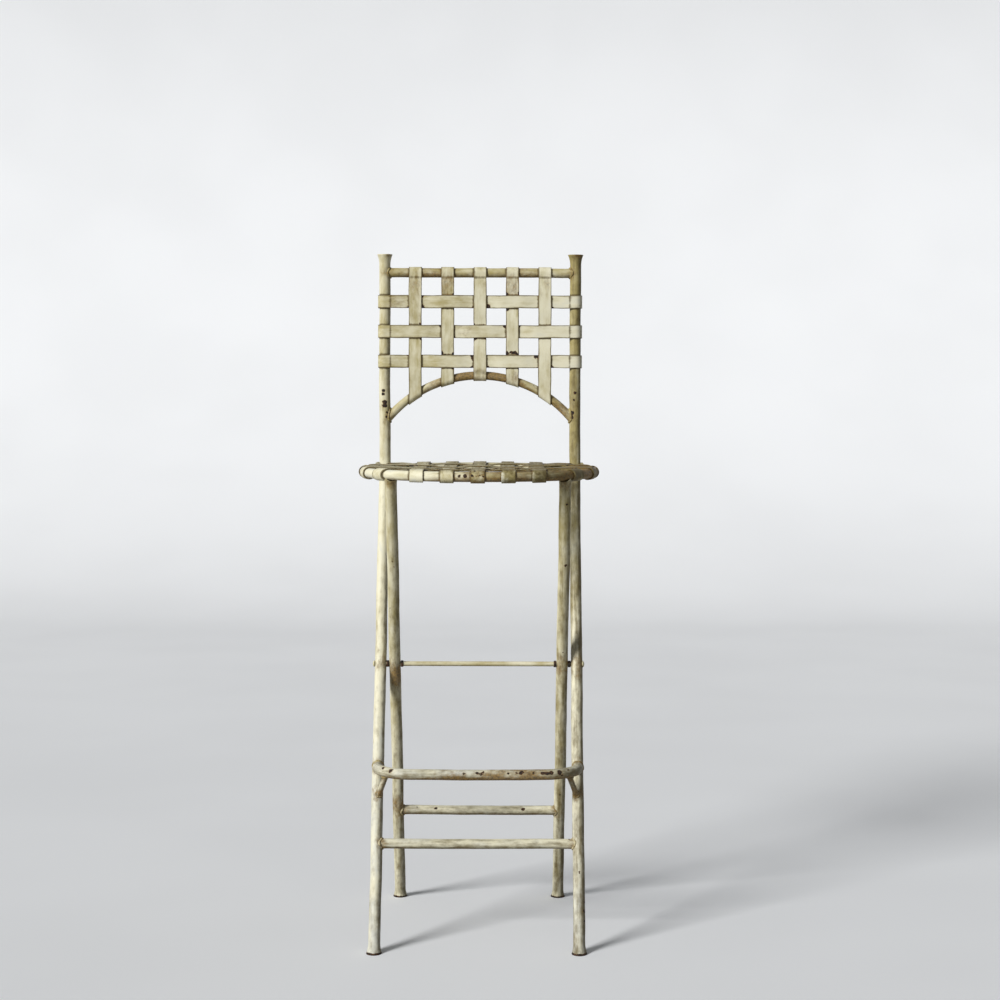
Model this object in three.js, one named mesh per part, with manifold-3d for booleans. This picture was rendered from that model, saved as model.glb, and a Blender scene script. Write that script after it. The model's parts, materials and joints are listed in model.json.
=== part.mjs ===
// A tall folding iron chair: crossed pairs of tube legs, and a round seat and a back woven from flat straps.
// Millimetres, +Z up. The origin is on the floor below the middle of the seat; -Y is the front of the chair.
import * as THREE from "three";
import { mergeVertices } from "three/addons/utils/BufferGeometryUtils.js";
import Module from "manifold-3d";

// Overall sizes
const SEAT_HEIGHT = 753; // axis of the seat rim
const SEAT_RADIUS = 187; // axis of the seat rim
const BACK_HEIGHT = 363; // top of the uprights above the axis of the seat rim
const OUTER_HALF_SPACING = 162; // axis of each upright from the middle of the chair
const LEG_GAP = 5; // between an upright and the rear leg beside it
const PIVOT_HEIGHT = 435;
const PIVOT_SETBACK = 5; // pivot of the legs behind the middle of the seat
const POST_CLEARANCE = 4.3; // between the uprights and the straps on the seat rim
const BEND_RISE = 1.5; // bend of the uprights above the axis of the seat rim

// Tubes and rods
const LEG_DIAMETER = 19;
const RIM_DIAMETER = 16;
const TOP_RAIL_DIAMETER = 16;
const STRETCHER_DIAMETER = 16;
const ARCH_DIAMETER = 14;
const HOOP_DIAMETER = 17;
const BRACE_DIAMETER = 9;
const PIVOT_DIAMETER = 8;
const SEAT_PIN_DIAMETER = 8;
const POST_BEND_RADIUS = 100;

// Flared tube ends
const FLARE_DIAMETER = 25;
const FLARE_LENGTH = 17;
const SADDLE_FLARE_DIAMETER = 23.4;
const SADDLE_DROP = 6; // end of a rear leg's axis below the rim's axis, before it is hollowed for the rim
const MOUTH_WALL = 1.6;
const MOUTH_DEPTH = 12;
const FOOT_TRIM = 12; // tube left below the floor line before the foot is cut flat

// Back panel
const TOP_RAIL_DROP = 31; // top rail below the top of the uprights
const ARCH_DROP = 24; // top of the arch below the last cross strap
const ARCH_RADIUS = 204;
const BACK_UPRIGHT_PITCH = 55;
const BACK_UPRIGHT_COUNT = 5;
const BACK_CROSS_DROP = 49; // first cross strap below the top rail
const BACK_CROSS_PITCH = 50.5;
const BACK_CROSS_COUNT = 3;
const BACK_WEAVE_OFFSET = 10.1; // middle of the weave in front of the panel's tubes

// Woven straps
const STRAP_WIDTH = 22;
const STRAP_THICKNESS = 1.6;
const STRAP_GAP = 0.5; // clear space between a strap and the tube that it turns round
const CROSSING_GAP = 0.3; // clear space between two straps where they cross
const STRAP_TURN = 230; // degrees that an end turns round its tube
const SEAT_LENGTHWISE_PITCH = 48;
const FRONT_STRAP_SETBACK = 10; // first crosswise strap behind the tops of the rear legs
const REAR_STRAP_SETBACK = 17; // last crosswise strap behind the seat's pins
const SEAT_STRAP_COUNT = 5;
const SEAT_DIP = 4; // the weave hangs this much lower in the middle

// Footrest and stretchers
const HOOP_HEIGHT = 277;
const HOOP_REACH = 73.7; // front run of the hoop, in front of the uprights
const HOOP_CORNER_RADIUS = 60;
const BRACE_FOOT_HEIGHT = 228;
const BRACE_CORNER_ANGLE = 45; // degrees round the hoop's corner where the brace meets it
const FRONT_STRETCHER_HEIGHT = 160;
const REAR_STRETCHER_HEIGHT = 167;

// Pivots
const RIVET_HEAD_DIAMETER = 11;
const RIVET_HEAD_HEIGHT = 3;
const COLLAR_DIAMETER = 11;
const COLLAR_LENGTH = 4;
const SEAT_PIN_SHOULDER_DIAMETER = 12;
const SEAT_PIN_SHOULDER_LENGTH = 2;
const SEAT_PIN_BITE = 7; // pin past the rim's axis
const LUG_THICKNESS = 4;
const LUG_WIDTH = 20;
const LUG_TAIL = 8; // lug behind the upright's axis

// Clearances and facets
const WELD_GAP = 0.3;
const HOLE_CLEARANCE = 0.3; // all round a pin
const SADDLE_GAP = 0.6;
const TUBE_SIDES = 16;
const ROD_SIDES = 14;
const RIM_SIDES = 12;
const RIM_STEPS = 60;
const DEGREES_PER_STEP = 6;
const FLARE_STEPS = 4;
const LUG_CURVE_STEPS = 10;
const WRAP_STEPS = 9;
const RIVET_HEAD_STEPS = 3;
const MERGE_DISTANCE = 1e-4;

const DEGREE = Math.PI / 180;
const LEG_RADIUS = LEG_DIAMETER / 2;
const RIM_RADIUS = RIM_DIAMETER / 2;
const STRAP_LIFT = STRAP_GAP + STRAP_THICKNESS / 2; // middle of a strap off the tube below it
const INNER_HALF_SPACING = OUTER_HALF_SPACING - LEG_DIAMETER - LEG_GAP; // axis of each rear leg

// Heights of the back, from the top down
const OVERALL_HEIGHT = SEAT_HEIGHT + BACK_HEIGHT;
const TOP_RAIL_HEIGHT = OVERALL_HEIGHT - TOP_RAIL_DROP;
const BACK_CROSS_TOP = TOP_RAIL_HEIGHT - BACK_CROSS_DROP;
const ARCH_TOP_HEIGHT = BACK_CROSS_TOP - (BACK_CROSS_COUNT - 1) * BACK_CROSS_PITCH - ARCH_DROP;

// The uprights pass just behind the strapped rim and bend beside it, which sets the slope of the legs.
const POST_OUT = SEAT_RADIUS + RIM_RADIUS + STRAP_GAP + STRAP_THICKNESS + POST_CLEARANCE + LEG_RADIUS;
const POST_Y = Math.sqrt(POST_OUT ** 2 - OUTER_HALF_SPACING ** 2);
const POST_SETBACK = POST_Y - PIVOT_SETBACK; // upper, straight part of the uprights behind the pivot
const BEND_HEIGHT = SEAT_HEIGHT + BEND_RISE;
const LEG_SLOPE = POST_SETBACK / (BEND_HEIGHT - PIVOT_HEIGHT);
const LEAN = Math.atan(LEG_SLOPE);
const FOOT_REACH = PIVOT_HEIGHT * LEG_SLOPE; // each foot on the floor, in front of or behind the pivot
const WEAVE_RISE = (STRAP_THICKNESS + CROSSING_GAP) / 2;
const SIDES = [
  ["left", -1],
  ["right", 1],
];

const wasm = await Module();
wasm.setup();

const paint = new THREE.MeshStandardMaterial({ color: 0xd9d0a6, roughness: 0.62, metalness: 0.05 });
const strapPaint = new THREE.MeshStandardMaterial({ color: 0xc9bd92, roughness: 0.66, metalness: 0.05 });
const bareIron = new THREE.MeshStandardMaterial({ color: 0x4a3d31, roughness: 0.7, metalness: 0.6 });

function solidOf(geometry) {
  const flat = geometry.index ? geometry.toNonIndexed() : geometry;
  const bare = new THREE.BufferGeometry().setAttribute("position", flat.getAttribute("position"));
  const merged = mergeVertices(bare, MERGE_DISTANCE);
  return new wasm.Manifold(
    new wasm.Mesh({
      numProp: 3,
      vertProperties: merged.attributes.position.array,
      triVerts: new Uint32Array(merged.index.array),
    }),
  );
}

function geometryOf(solid) {
  const mesh = solid.getMesh();
  const geometry = new THREE.BufferGeometry();
  geometry.setAttribute("position", new THREE.BufferAttribute(mesh.vertProperties, 3));
  geometry.setIndex(new THREE.BufferAttribute(mesh.triVerts, 1));
  return geometry;
}

function cut(geometry, ...tools) {
  return geometryOf(tools.reduce((solid, tool) => solid.subtract(solidOf(tool)), solidOf(geometry)));
}

function part(group, name, geometry, material, position = [0, 0, 0]) {
  const mesh = new THREE.Mesh(geometry, material);
  mesh.name = name;
  mesh.position.set(...position);
  group.add(mesh);
}

// A round bar between two points.
function rod(from, to, diameter) {
  const along = new THREE.Vector3().subVectors(to, from);
  const bar = new THREE.CylinderGeometry(diameter / 2, diameter / 2, along.length(), ROD_SIDES);
  const turn = new THREE.Quaternion().setFromUnitVectors(new THREE.Vector3(0, 1, 0), along.normalize());
  const middle = new THREE.Vector3().addVectors(from, to).multiplyScalar(0.5);
  return bar.applyQuaternion(turn).translate(...middle);
}

// A round bar along X, as wide as the chair and more, for drilling.
function drill(diameter, y, z) {
  const reach = OUTER_HALF_SPACING + SEAT_RADIUS;
  return rod(new THREE.Vector3(-reach, y, z), new THREE.Vector3(reach, y, z), diameter);
}

// A piece turned about the X axis, from a profile of [distance along X, radius] points.
function turned(profile) {
  const outline = profile.map(([along, radius]) => new THREE.Vector2(radius, along));
  return new THREE.LatheGeometry(outline, ROD_SIDES).rotateZ(-Math.PI / 2);
}

// A ring round the X axis between two places.
function ring(start, end, bore, diameter) {
  const profile = [
    [start, bore / 2],
    [start, diameter / 2],
    [end, diameter / 2],
    [end, bore / 2],
    [start, bore / 2],
  ];
  return turned(profile);
}

// A profile of [distance, radius] stations turned round a flat path: a lathe whose axis is bent.
// `across` and `up` are the directions of the path's two coordinates, and `origin` is its zero point.
function bentLathe(path, stations, origin, across, up) {
  const side = new THREE.Vector3().crossVectors(across, up);
  const length = path.getLength();
  const spot = (distance, radius, angle) => {
    const share = THREE.MathUtils.clamp(distance / length, 0, 1);
    const at = path.getPointAt(share);
    const along = path.getTangentAt(share);
    const outward = radius * Math.cos(angle);
    return new THREE.Vector3()
      .copy(origin)
      .addScaledVector(across, at.x - along.y * outward)
      .addScaledVector(up, at.y + along.x * outward)
      .addScaledVector(side, radius * Math.sin(angle));
  };
  const corners = [];
  for (let i = 0; i + 1 < stations.length; i++) {
    for (let k = 0; k < TUBE_SIDES; k++) {
      const here = (k / TUBE_SIDES) * 2 * Math.PI;
      const next = (((k + 1) % TUBE_SIDES) / TUBE_SIDES) * 2 * Math.PI;
      const a = spot(...stations[i], here);
      const b = spot(...stations[i], next);
      const c = spot(...stations[i + 1], next);
      const d = spot(...stations[i + 1], here);
      if (stations[i][1] > 0) corners.push(a, b, c);
      if (stations[i + 1][1] > 0) corners.push(a, c, d);
    }
  }
  return new THREE.BufferGeometry().setFromPoints(corners);
}

// Distances along a path at which a tube needs a ring: ends of straight runs and even steps round bends.
function ringPlaces(path) {
  const places = [0];
  for (const curve of path.curves) {
    const sweep = curve.isEllipseCurve ? Math.abs(curve.aEndAngle - curve.aStartAngle) : 0;
    const steps = Math.max(1, Math.ceil(sweep / (DEGREES_PER_STEP * DEGREE)));
    const start = places.at(-1);
    for (let k = 1; k <= steps; k++) places.push(start + (curve.getLength() * k) / steps);
  }
  return places;
}

function plainStations(path, radius) {
  const places = ringPlaces(path);
  return [[0, 0], ...places.map((place) => [place, radius]), [places.at(-1), 0]];
}

// Radius of a tube near a trumpet-shaped end, by distance from its lip.
function trumpet(distance, radius, lipRadius) {
  const share = Math.max(0, 1 - distance / FLARE_LENGTH);
  return radius + (lipRadius - radius) * share * share;
}

// Stations of a leg: a flared foot, plain tube along the path's bends, and a flared top.
function flaredStations(path, topLipRadius, topEnd) {
  const length = path.getLength();
  const places = ringPlaces(path).slice(1, -1);
  const foot = [];
  const top = [];
  for (let k = 0; k <= FLARE_STEPS; k++) {
    const distance = (FLARE_LENGTH * k) / FLARE_STEPS;
    foot.push([FOOT_TRIM + distance, trumpet(distance, LEG_RADIUS, FLARE_DIAMETER / 2)]);
    top.unshift([length - distance, trumpet(distance, LEG_RADIUS, topLipRadius)]);
  }
  const tube = places.map((place) => [place, LEG_RADIUS]);
  return [[0, 0], [0, FLARE_DIAMETER / 2], ...foot, ...tube, ...top, ...topEnd];
}

const Y_AXIS = new THREE.Vector3(0, 1, 0);
const Z_AXIS = new THREE.Vector3(0, 0, 1);
const X_AXIS = new THREE.Vector3(1, 0, 0);
const uprightY = (height) => PIVOT_SETBACK + (height - PIVOT_HEIGHT) * LEG_SLOPE;
const rearLegY = (height) => 2 * PIVOT_SETBACK - uprightY(height);

// Side view of an upright, as (Y from the pivot, Z): slanted front leg, bend, and straight back post.
function uprightPath() {
  const bendTrim = POST_BEND_RADIUS * Math.tan(LEAN / 2);
  const footY = -FOOT_REACH - FOOT_TRIM * Math.sin(LEAN);
  const path = new THREE.Path();
  path.moveTo(footY, -FOOT_TRIM * Math.cos(LEAN));
  path.lineTo(POST_SETBACK - bendTrim * Math.sin(LEAN), BEND_HEIGHT - bendTrim * Math.cos(LEAN));
  path.absarc(POST_SETBACK - POST_BEND_RADIUS, BEND_HEIGHT + bendTrim, POST_BEND_RADIUS, -LEAN, 0, false);
  path.lineTo(POST_SETBACK, OVERALL_HEIGHT);
  return path;
}

// Side view of a rear leg, as (Y from the pivot, Z), up to the seat rim that it carries.
function rearLegPath() {
  const topHeight = SEAT_HEIGHT - SADDLE_DROP;
  const path = new THREE.Path();
  path.moveTo(FOOT_REACH + FOOT_TRIM * Math.sin(LEAN), -FOOT_TRIM * Math.cos(LEAN));
  path.lineTo((PIVOT_HEIGHT - topHeight) * LEG_SLOPE, topHeight);
  return path;
}

const floor = new THREE.BoxGeometry(4 * FOOT_REACH, 4 * FOOT_REACH, 4 * FOOT_TRIM);
floor.translate(0, 0, -2 * FOOT_TRIM);
const pivotBore = PIVOT_DIAMETER + 2 * HOLE_CLEARANCE;
const pivotHole = drill(pivotBore, PIVOT_SETBACK, PIVOT_HEIGHT);

function uprightTube(side) {
  const path = uprightPath();
  const lip = FLARE_DIAMETER / 2;
  const length = path.getLength();
  const mouth = [
    [length, lip - MOUTH_WALL],
    [length - MOUTH_DEPTH, LEG_RADIUS - MOUTH_WALL],
    [length - MOUTH_DEPTH, 0],
  ];
  const origin = new THREE.Vector3(side * OUTER_HALF_SPACING, PIVOT_SETBACK, 0);
  return bentLathe(path, flaredStations(path, lip, mouth), origin, Y_AXIS, Z_AXIS);
}

// The space that an upright and its weld take from the end of a rail or hoop.
function uprightCope(side) {
  const path = uprightPath();
  const origin = new THREE.Vector3(side * OUTER_HALF_SPACING, PIVOT_SETBACK, 0);
  return bentLathe(path, plainStations(path, LEG_RADIUS + WELD_GAP), origin, Y_AXIS, Z_AXIS);
}

function rearLegTube(side) {
  const path = rearLegPath();
  const end = [[path.getLength(), 0]];
  const origin = new THREE.Vector3(side * INNER_HALF_SPACING, PIVOT_SETBACK, 0);
  return bentLathe(path, flaredStations(path, SADDLE_FLARE_DIAMETER / 2, end), origin, Y_AXIS, Z_AXIS);
}

function rearLegCope(side) {
  const path = rearLegPath();
  const origin = new THREE.Vector3(side * INNER_HALF_SPACING, PIVOT_SETBACK, 0);
  return bentLathe(path, plainStations(path, LEG_RADIUS + WELD_GAP), origin, Y_AXIS, Z_AXIS);
}

// A bar across the chair between two legs, at a height where their axes have this Y.
function crossBar(halfSpacing, y, z, diameter) {
  return rod(new THREE.Vector3(-halfSpacing, y, z), new THREE.Vector3(halfSpacing, y, z), diameter);
}

// The shape of the seat rim, grown by a margin, as a cutter for what it rests in.
function rimRing(margin) {
  const torus = new THREE.TorusGeometry(SEAT_RADIUS, RIM_RADIUS + margin, RIM_SIDES, RIM_STEPS);
  return torus.translate(0, 0, SEAT_HEIGHT);
}

const backFrame = new THREE.Group();
const rearLegFrame = new THREE.Group();
const seat = new THREE.Group();
seat.position.z = SEAT_HEIGHT;

// Uprights: front leg and back post in one tube
const uprightCopes = SIDES.map(([, side]) => uprightCope(side));
for (const [name, side] of SIDES) {
  part(backFrame, name + "_upright", cut(uprightTube(side), floor, pivotHole), paint);
}

// Back panel: top rail and arch
const topRail = crossBar(OUTER_HALF_SPACING, POST_Y, TOP_RAIL_HEIGHT, TOP_RAIL_DIAMETER);
part(backFrame, "top_rail", cut(topRail, ...uprightCopes), paint);

const archCentreHeight = ARCH_TOP_HEIGHT - ARCH_RADIUS;
const archHeight = (x) => archCentreHeight + Math.sqrt(ARCH_RADIUS ** 2 - x ** 2);

function archTube() {
  const halfAngle = Math.asin(OUTER_HALF_SPACING / ARCH_RADIUS);
  const path = new THREE.Path();
  path.absarc(0, archCentreHeight, ARCH_RADIUS, Math.PI / 2 - halfAngle, Math.PI / 2 + halfAngle, false);
  const origin = new THREE.Vector3(0, POST_Y, 0);
  return bentLathe(path, plainStations(path, ARCH_DIAMETER / 2), origin, X_AXIS, Z_AXIS);
}

part(backFrame, "back_arch", cut(archTube(), ...uprightCopes), paint);

// Footrest hoop, its braces and the stretchers
const hoopFrontY = uprightY(HOOP_HEIGHT) - HOOP_REACH;

function hoopTube() {
  const cornerX = OUTER_HALF_SPACING - HOOP_CORNER_RADIUS;
  const cornerY = hoopFrontY + HOOP_CORNER_RADIUS;
  const path = new THREE.Path();
  path.moveTo(-OUTER_HALF_SPACING, uprightY(HOOP_HEIGHT));
  path.lineTo(-OUTER_HALF_SPACING, cornerY);
  path.absarc(-cornerX, cornerY, HOOP_CORNER_RADIUS, Math.PI, 1.5 * Math.PI, false);
  path.lineTo(cornerX, hoopFrontY);
  path.absarc(cornerX, cornerY, HOOP_CORNER_RADIUS, 1.5 * Math.PI, 2 * Math.PI, false);
  path.lineTo(OUTER_HALF_SPACING, uprightY(HOOP_HEIGHT));
  const origin = new THREE.Vector3(0, 0, HOOP_HEIGHT);
  return (radius) => bentLathe(path, plainStations(path, radius), origin, X_AXIS, Y_AXIS);
}

const hoop = hoopTube();
part(backFrame, "footrest_hoop", cut(hoop(HOOP_DIAMETER / 2), ...uprightCopes), paint);

// Each brace runs from the leg up to the corner of the hoop, and stops at their surfaces.
const hoopCope = hoop(HOOP_DIAMETER / 2 + WELD_GAP);
SIDES.forEach(([name, side], index) => {
  const corner = BRACE_CORNER_ANGLE * DEGREE;
  const cornerX = OUTER_HALF_SPACING - HOOP_CORNER_RADIUS * (1 - Math.cos(corner));
  const cornerY = hoopFrontY + HOOP_CORNER_RADIUS * (1 - Math.sin(corner));
  const top = new THREE.Vector3(side * cornerX, cornerY, HOOP_HEIGHT);
  const foot = new THREE.Vector3(side * OUTER_HALF_SPACING, uprightY(BRACE_FOOT_HEIGHT), BRACE_FOOT_HEIGHT);
  const brace = cut(rod(foot, top, BRACE_DIAMETER), hoopCope, uprightCopes[index]);
  part(backFrame, name + "_footrest_brace", brace, paint);
});

const frontStretcherY = uprightY(FRONT_STRETCHER_HEIGHT);
const frontBar = crossBar(OUTER_HALF_SPACING, frontStretcherY, FRONT_STRETCHER_HEIGHT, STRETCHER_DIAMETER);
part(backFrame, "front_stretcher", cut(frontBar, ...uprightCopes), paint);

// Pivot rod with riveted ends, a spacer between the legs and a collar inside them on each side
const rivetSeat = OUTER_HALF_SPACING + LEG_RADIUS + WELD_GAP;

// A domed head, as a quarter of an ellipse.
function rivetHead(start) {
  const profile = [];
  for (let k = 0; k < RIVET_HEAD_STEPS; k++) {
    const angle = (k / RIVET_HEAD_STEPS) * (Math.PI / 2);
    profile.push([start + RIVET_HEAD_HEIGHT * Math.sin(angle), (RIVET_HEAD_DIAMETER / 2) * Math.cos(angle)]);
  }
  return [...profile, [start + RIVET_HEAD_HEIGHT, 0]];
}

function pivotRod() {
  const head = rivetHead(rivetSeat);
  const half = [[rivetSeat, PIVOT_DIAMETER / 2], ...head];
  const mirrored = half.map(([along, radius]) => [-along, radius]).reverse();
  return turned([...mirrored, ...half]);
}

const pivotPlace = [0, PIVOT_SETBACK, PIVOT_HEIGHT];
part(backFrame, "pivot_rod", pivotRod(), bareIron, pivotPlace);
for (const [name, side] of SIDES) {
  const spacerStart = INNER_HALF_SPACING + LEG_RADIUS + WELD_GAP;
  const spacerEnd = OUTER_HALF_SPACING - LEG_RADIUS - WELD_GAP;
  const collarEnd = INNER_HALF_SPACING - LEG_RADIUS - WELD_GAP;
  const turnRound = side < 0 ? Math.PI : 0;
  const spacer = ring(spacerStart, spacerEnd, pivotBore, COLLAR_DIAMETER).rotateZ(turnRound);
  const collar = ring(collarEnd - COLLAR_LENGTH, collarEnd, pivotBore, COLLAR_DIAMETER).rotateZ(turnRound);
  part(backFrame, name + "_pivot_spacer", spacer, bareIron, pivotPlace);
  part(backFrame, name + "_pivot_collar", collar, bareIron, pivotPlace);
}

// Seat lugs on the outer faces of the uprights, and the shouldered pins that the seat swings on
const lugStart = OUTER_HALF_SPACING + LEG_RADIUS + WELD_GAP;
const pinBore = SEAT_PIN_DIAMETER + 2 * HOLE_CLEARANCE;
const pinShoulder = SEAT_PIN_SHOULDER_DIAMETER / 2;

// A pin's shoulder fills the space between rim and lug, which sets how far back the pins are.
const shoulderEnd = lugStart - HOLE_CLEARANCE;
const shoulderStart = shoulderEnd - SEAT_PIN_SHOULDER_LENGTH;
const rimReach = Math.sqrt((SEAT_RADIUS + RIM_RADIUS) ** 2 - (shoulderStart - HOLE_CLEARANCE) ** 2);
const seatPivotY = rimReach + pinShoulder;

function lugPlate() {
  const half = LUG_WIDTH / 2;
  const outline = new THREE.Shape();
  outline.moveTo(POST_Y + LUG_TAIL, -half);
  outline.lineTo(POST_Y + LUG_TAIL, half);
  outline.lineTo(seatPivotY, half);
  outline.absarc(seatPivotY, 0, half, Math.PI / 2, 1.5 * Math.PI, false);
  const hole = new THREE.Path();
  hole.absarc(seatPivotY, 0, pinBore / 2, 0, 2 * Math.PI, true);
  outline.holes.push(hole);
  const options = { depth: LUG_THICKNESS, bevelEnabled: false, curveSegments: LUG_CURVE_STEPS };
  const plate = new THREE.ExtrudeGeometry(outline, options);
  return plate.applyMatrix4(new THREE.Matrix4().makeBasis(Y_AXIS, Z_AXIS, X_AXIS));
}

function seatPin() {
  const rimX = Math.sqrt(SEAT_RADIUS ** 2 - seatPivotY ** 2);
  const shank = SEAT_PIN_DIAMETER / 2;
  const headStart = lugStart + LUG_THICKNESS + WELD_GAP;
  return turned([
    [rimX - SEAT_PIN_BITE, 0],
    [rimX - SEAT_PIN_BITE, shank],
    [shoulderStart, shank],
    [shoulderStart, pinShoulder],
    [shoulderEnd, pinShoulder],
    [shoulderEnd, shank],
    [headStart, shank],
    ...rivetHead(headStart),
  ]);
}

for (const [name, side] of SIDES) {
  const lugX = side > 0 ? lugStart : -lugStart - LUG_THICKNESS;
  part(backFrame, name + "_seat_lug", lugPlate(), paint, [lugX, 0, SEAT_HEIGHT]);
  const pin = seatPin().rotateZ(side < 0 ? Math.PI : 0);
  part(backFrame, name + "_seat_pin", pin, bareIron, [0, seatPivotY, SEAT_HEIGHT]);
}

// Rear legs, saddled under the seat rim, and the stretcher between them
const strapRing = rimRing(STRAP_GAP + STRAP_THICKNESS + SADDLE_GAP);
for (const [name, side] of SIDES) {
  part(rearLegFrame, name + "_rear_leg", cut(rearLegTube(side), floor, pivotHole, strapRing), paint);
}

const rearCopes = SIDES.map(([, side]) => rearLegCope(side));
const rearStretcherY = rearLegY(REAR_STRETCHER_HEIGHT);
const rearBar = crossBar(INNER_HALF_SPACING, rearStretcherY, REAR_STRETCHER_HEIGHT, STRETCHER_DIAMETER);
part(rearLegFrame, "rear_stretcher", cut(rearBar, ...rearCopes), paint);

// Seat rim
const pinHole = drill(pinBore, seatPivotY, 0);
const rim = new THREE.TorusGeometry(SEAT_RADIUS, RIM_RADIUS, RIM_SIDES, RIM_STEPS);
part(seat, "seat_rim", cut(rim, pinHole), paint);

// Middle line of a strap, as [along, height] points: turned end, weave, turned end.
// A carrier is the tube that an end turns round: where its axis is met, its radius, and the cosine of the
// angle at which the strap meets it, which stretches the turn along the strap.
function strapLine(first, last, crossings, dip) {
  const turn = STRAP_TURN * DEGREE;
  const rise = (carrier) => carrier.radius + STRAP_LIFT;
  const reach = (carrier) => rise(carrier) / carrier.slant;
  const start = [];
  const end = [];
  for (let k = 0; k <= WRAP_STEPS; k++) {
    const angle = (turn * k) / WRAP_STEPS;
    const along = Math.sin(angle);
    const height = Math.cos(angle);
    start.unshift([first.at - reach(first) * along, rise(first) * height]);
    end.push([last.at + reach(last) * along, rise(last) * height]);
  }
  const flat = STRAP_WIDTH / 2 + STRAP_THICKNESS;
  const weave = [];
  for (const { at, level } of crossings) {
    for (const place of [at - flat, at + flat]) weave.push([place, level - dip(place)]);
  }
  return [...start, ...weave, ...end];
}

// A flat strip of metal through a row of middle lines, one for each place across its width.
// `place` turns (along, across, height) into a point, with those three directions right-handed.
function strapGeometry(acrossPlaces, lineAt, place) {
  const upper = [];
  const lower = [];
  for (const across of acrossPlaces) {
    const line = lineAt(across).map(([along, height]) => new THREE.Vector2(along, height));
    const faces = line.map((point, i) => {
      const before = line[Math.max(0, i - 1)];
      const after = line[Math.min(line.length - 1, i + 1)];
      const run = new THREE.Vector2().subVectors(after, before).normalize();
      const off = new THREE.Vector2(-run.y, run.x).multiplyScalar(STRAP_THICKNESS / 2);
      return [point.clone().add(off), point.clone().sub(off)];
    });
    upper.push(faces.map(([top]) => place(top.x, across, top.y)));
    lower.push(faces.map(([, bottom]) => place(bottom.x, across, bottom.y)));
  }
  const corners = [];
  const quad = (a, b, c, d) => corners.push(a, b, c, a, c, d);
  const lastRow = acrossPlaces.length - 1;
  const lastPoint = upper[0].length - 1;
  for (let j = 0; j < lastRow; j++) {
    for (let i = 0; i < lastPoint; i++) {
      quad(upper[j][i], upper[j][i + 1], upper[j + 1][i + 1], upper[j + 1][i]);
      quad(lower[j][i], lower[j + 1][i], lower[j + 1][i + 1], lower[j][i + 1]);
    }
    quad(upper[j][0], upper[j + 1][0], lower[j + 1][0], lower[j][0]);
    quad(upper[j][lastPoint], lower[j][lastPoint], lower[j + 1][lastPoint], upper[j + 1][lastPoint]);
  }
  for (let i = 0; i < lastPoint; i++) {
    quad(upper[0][i], lower[0][i], lower[0][i + 1], upper[0][i + 1]);
    quad(upper[lastRow][i], upper[lastRow][i + 1], lower[lastRow][i + 1], lower[lastRow][i]);
  }
  return new THREE.BufferGeometry().setFromPoints(corners);
}

const straightAcross = [-STRAP_WIDTH / 2, STRAP_WIDTH / 2];
const curvedAcross = [-STRAP_WIDTH / 2, 0, STRAP_WIDTH / 2];
const evenPlaces = (count, pitch) => Array.from({ length: count }, (_, i) => (i - (count - 1) / 2) * pitch);

// Level of a strap where it crosses another in a plain weave: in front, or on top, where their two numbers
// add up to an even one. `sign` is 1 for one set of straps and -1 for the set that crosses it.
const crossingLevel = (base, own, other, sign) => base + ((own + other) % 2 ? -sign : sign) * WEAVE_RISE;

// Back straps, turned round the top rail and the arch, or round the two uprights
const backUprightPlaces = evenPlaces(BACK_UPRIGHT_COUNT, BACK_UPRIGHT_PITCH);
const backCrossDrops = Array.from({ length: BACK_CROSS_COUNT }, (_, j) => j * BACK_CROSS_PITCH);
const backCrossPlaces = backCrossDrops.map((drop) => BACK_CROSS_TOP - drop);
const noDip = () => 0;

backUprightPlaces.forEach((x, i) => {
  const topRailEnd = { at: TOP_RAIL_HEIGHT, radius: TOP_RAIL_DIAMETER / 2, slant: 1 };
  const levelAt = (j) => crossingLevel(BACK_WEAVE_OFFSET, i, j, 1);
  const crossings = backCrossPlaces.map((at, j) => ({ at, level: levelAt(j) })).reverse();
  const lineAt = (across) => {
    const archX = x - across;
    const slant = Math.sqrt(1 - (archX / ARCH_RADIUS) ** 2);
    const archEnd = { at: archHeight(archX), radius: ARCH_DIAMETER / 2, slant };
    return strapLine(archEnd, topRailEnd, crossings, noDip);
  };
  const place = (along, across, height) => new THREE.Vector3(x - across, POST_Y - height, along);
  part(backFrame, "back_strap_upright_" + (i + 1), strapGeometry(curvedAcross, lineAt, place), strapPaint);
});

backCrossPlaces.forEach((z, j) => {
  const end = (side) => ({ at: side * OUTER_HALF_SPACING, radius: LEG_RADIUS, slant: 1 });
  const levelAt = (i) => crossingLevel(BACK_WEAVE_OFFSET, i, j, -1);
  const crossings = backUprightPlaces.map((at, i) => ({ at, level: levelAt(i) }));
  const lineAt = () => strapLine(end(-1), end(1), crossings, noDip);
  const place = (along, across, height) => new THREE.Vector3(along, POST_Y - height, z + across);
  part(backFrame, "back_strap_cross_" + (j + 1), strapGeometry(straightAcross, lineAt, place), strapPaint);
});

// Seat straps, turned round the rim
const seatLengthwisePlaces = evenPlaces(SEAT_STRAP_COUNT, SEAT_LENGTHWISE_PITCH);
const frontStrapY = rearLegY(SEAT_HEIGHT - SADDLE_DROP) + FRONT_STRAP_SETBACK;
const rearStrapY = seatPivotY + REAR_STRAP_SETBACK;
const crosswisePitch = (rearStrapY - frontStrapY) / (SEAT_STRAP_COUNT - 1);
const crosswiseEven = evenPlaces(SEAT_STRAP_COUNT, crosswisePitch);
const seatCrosswisePlaces = crosswiseEven.map((y) => y + (frontStrapY + rearStrapY) / 2);
const seatWeaveHeight = RIM_RADIUS + STRAP_LIFT;

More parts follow.
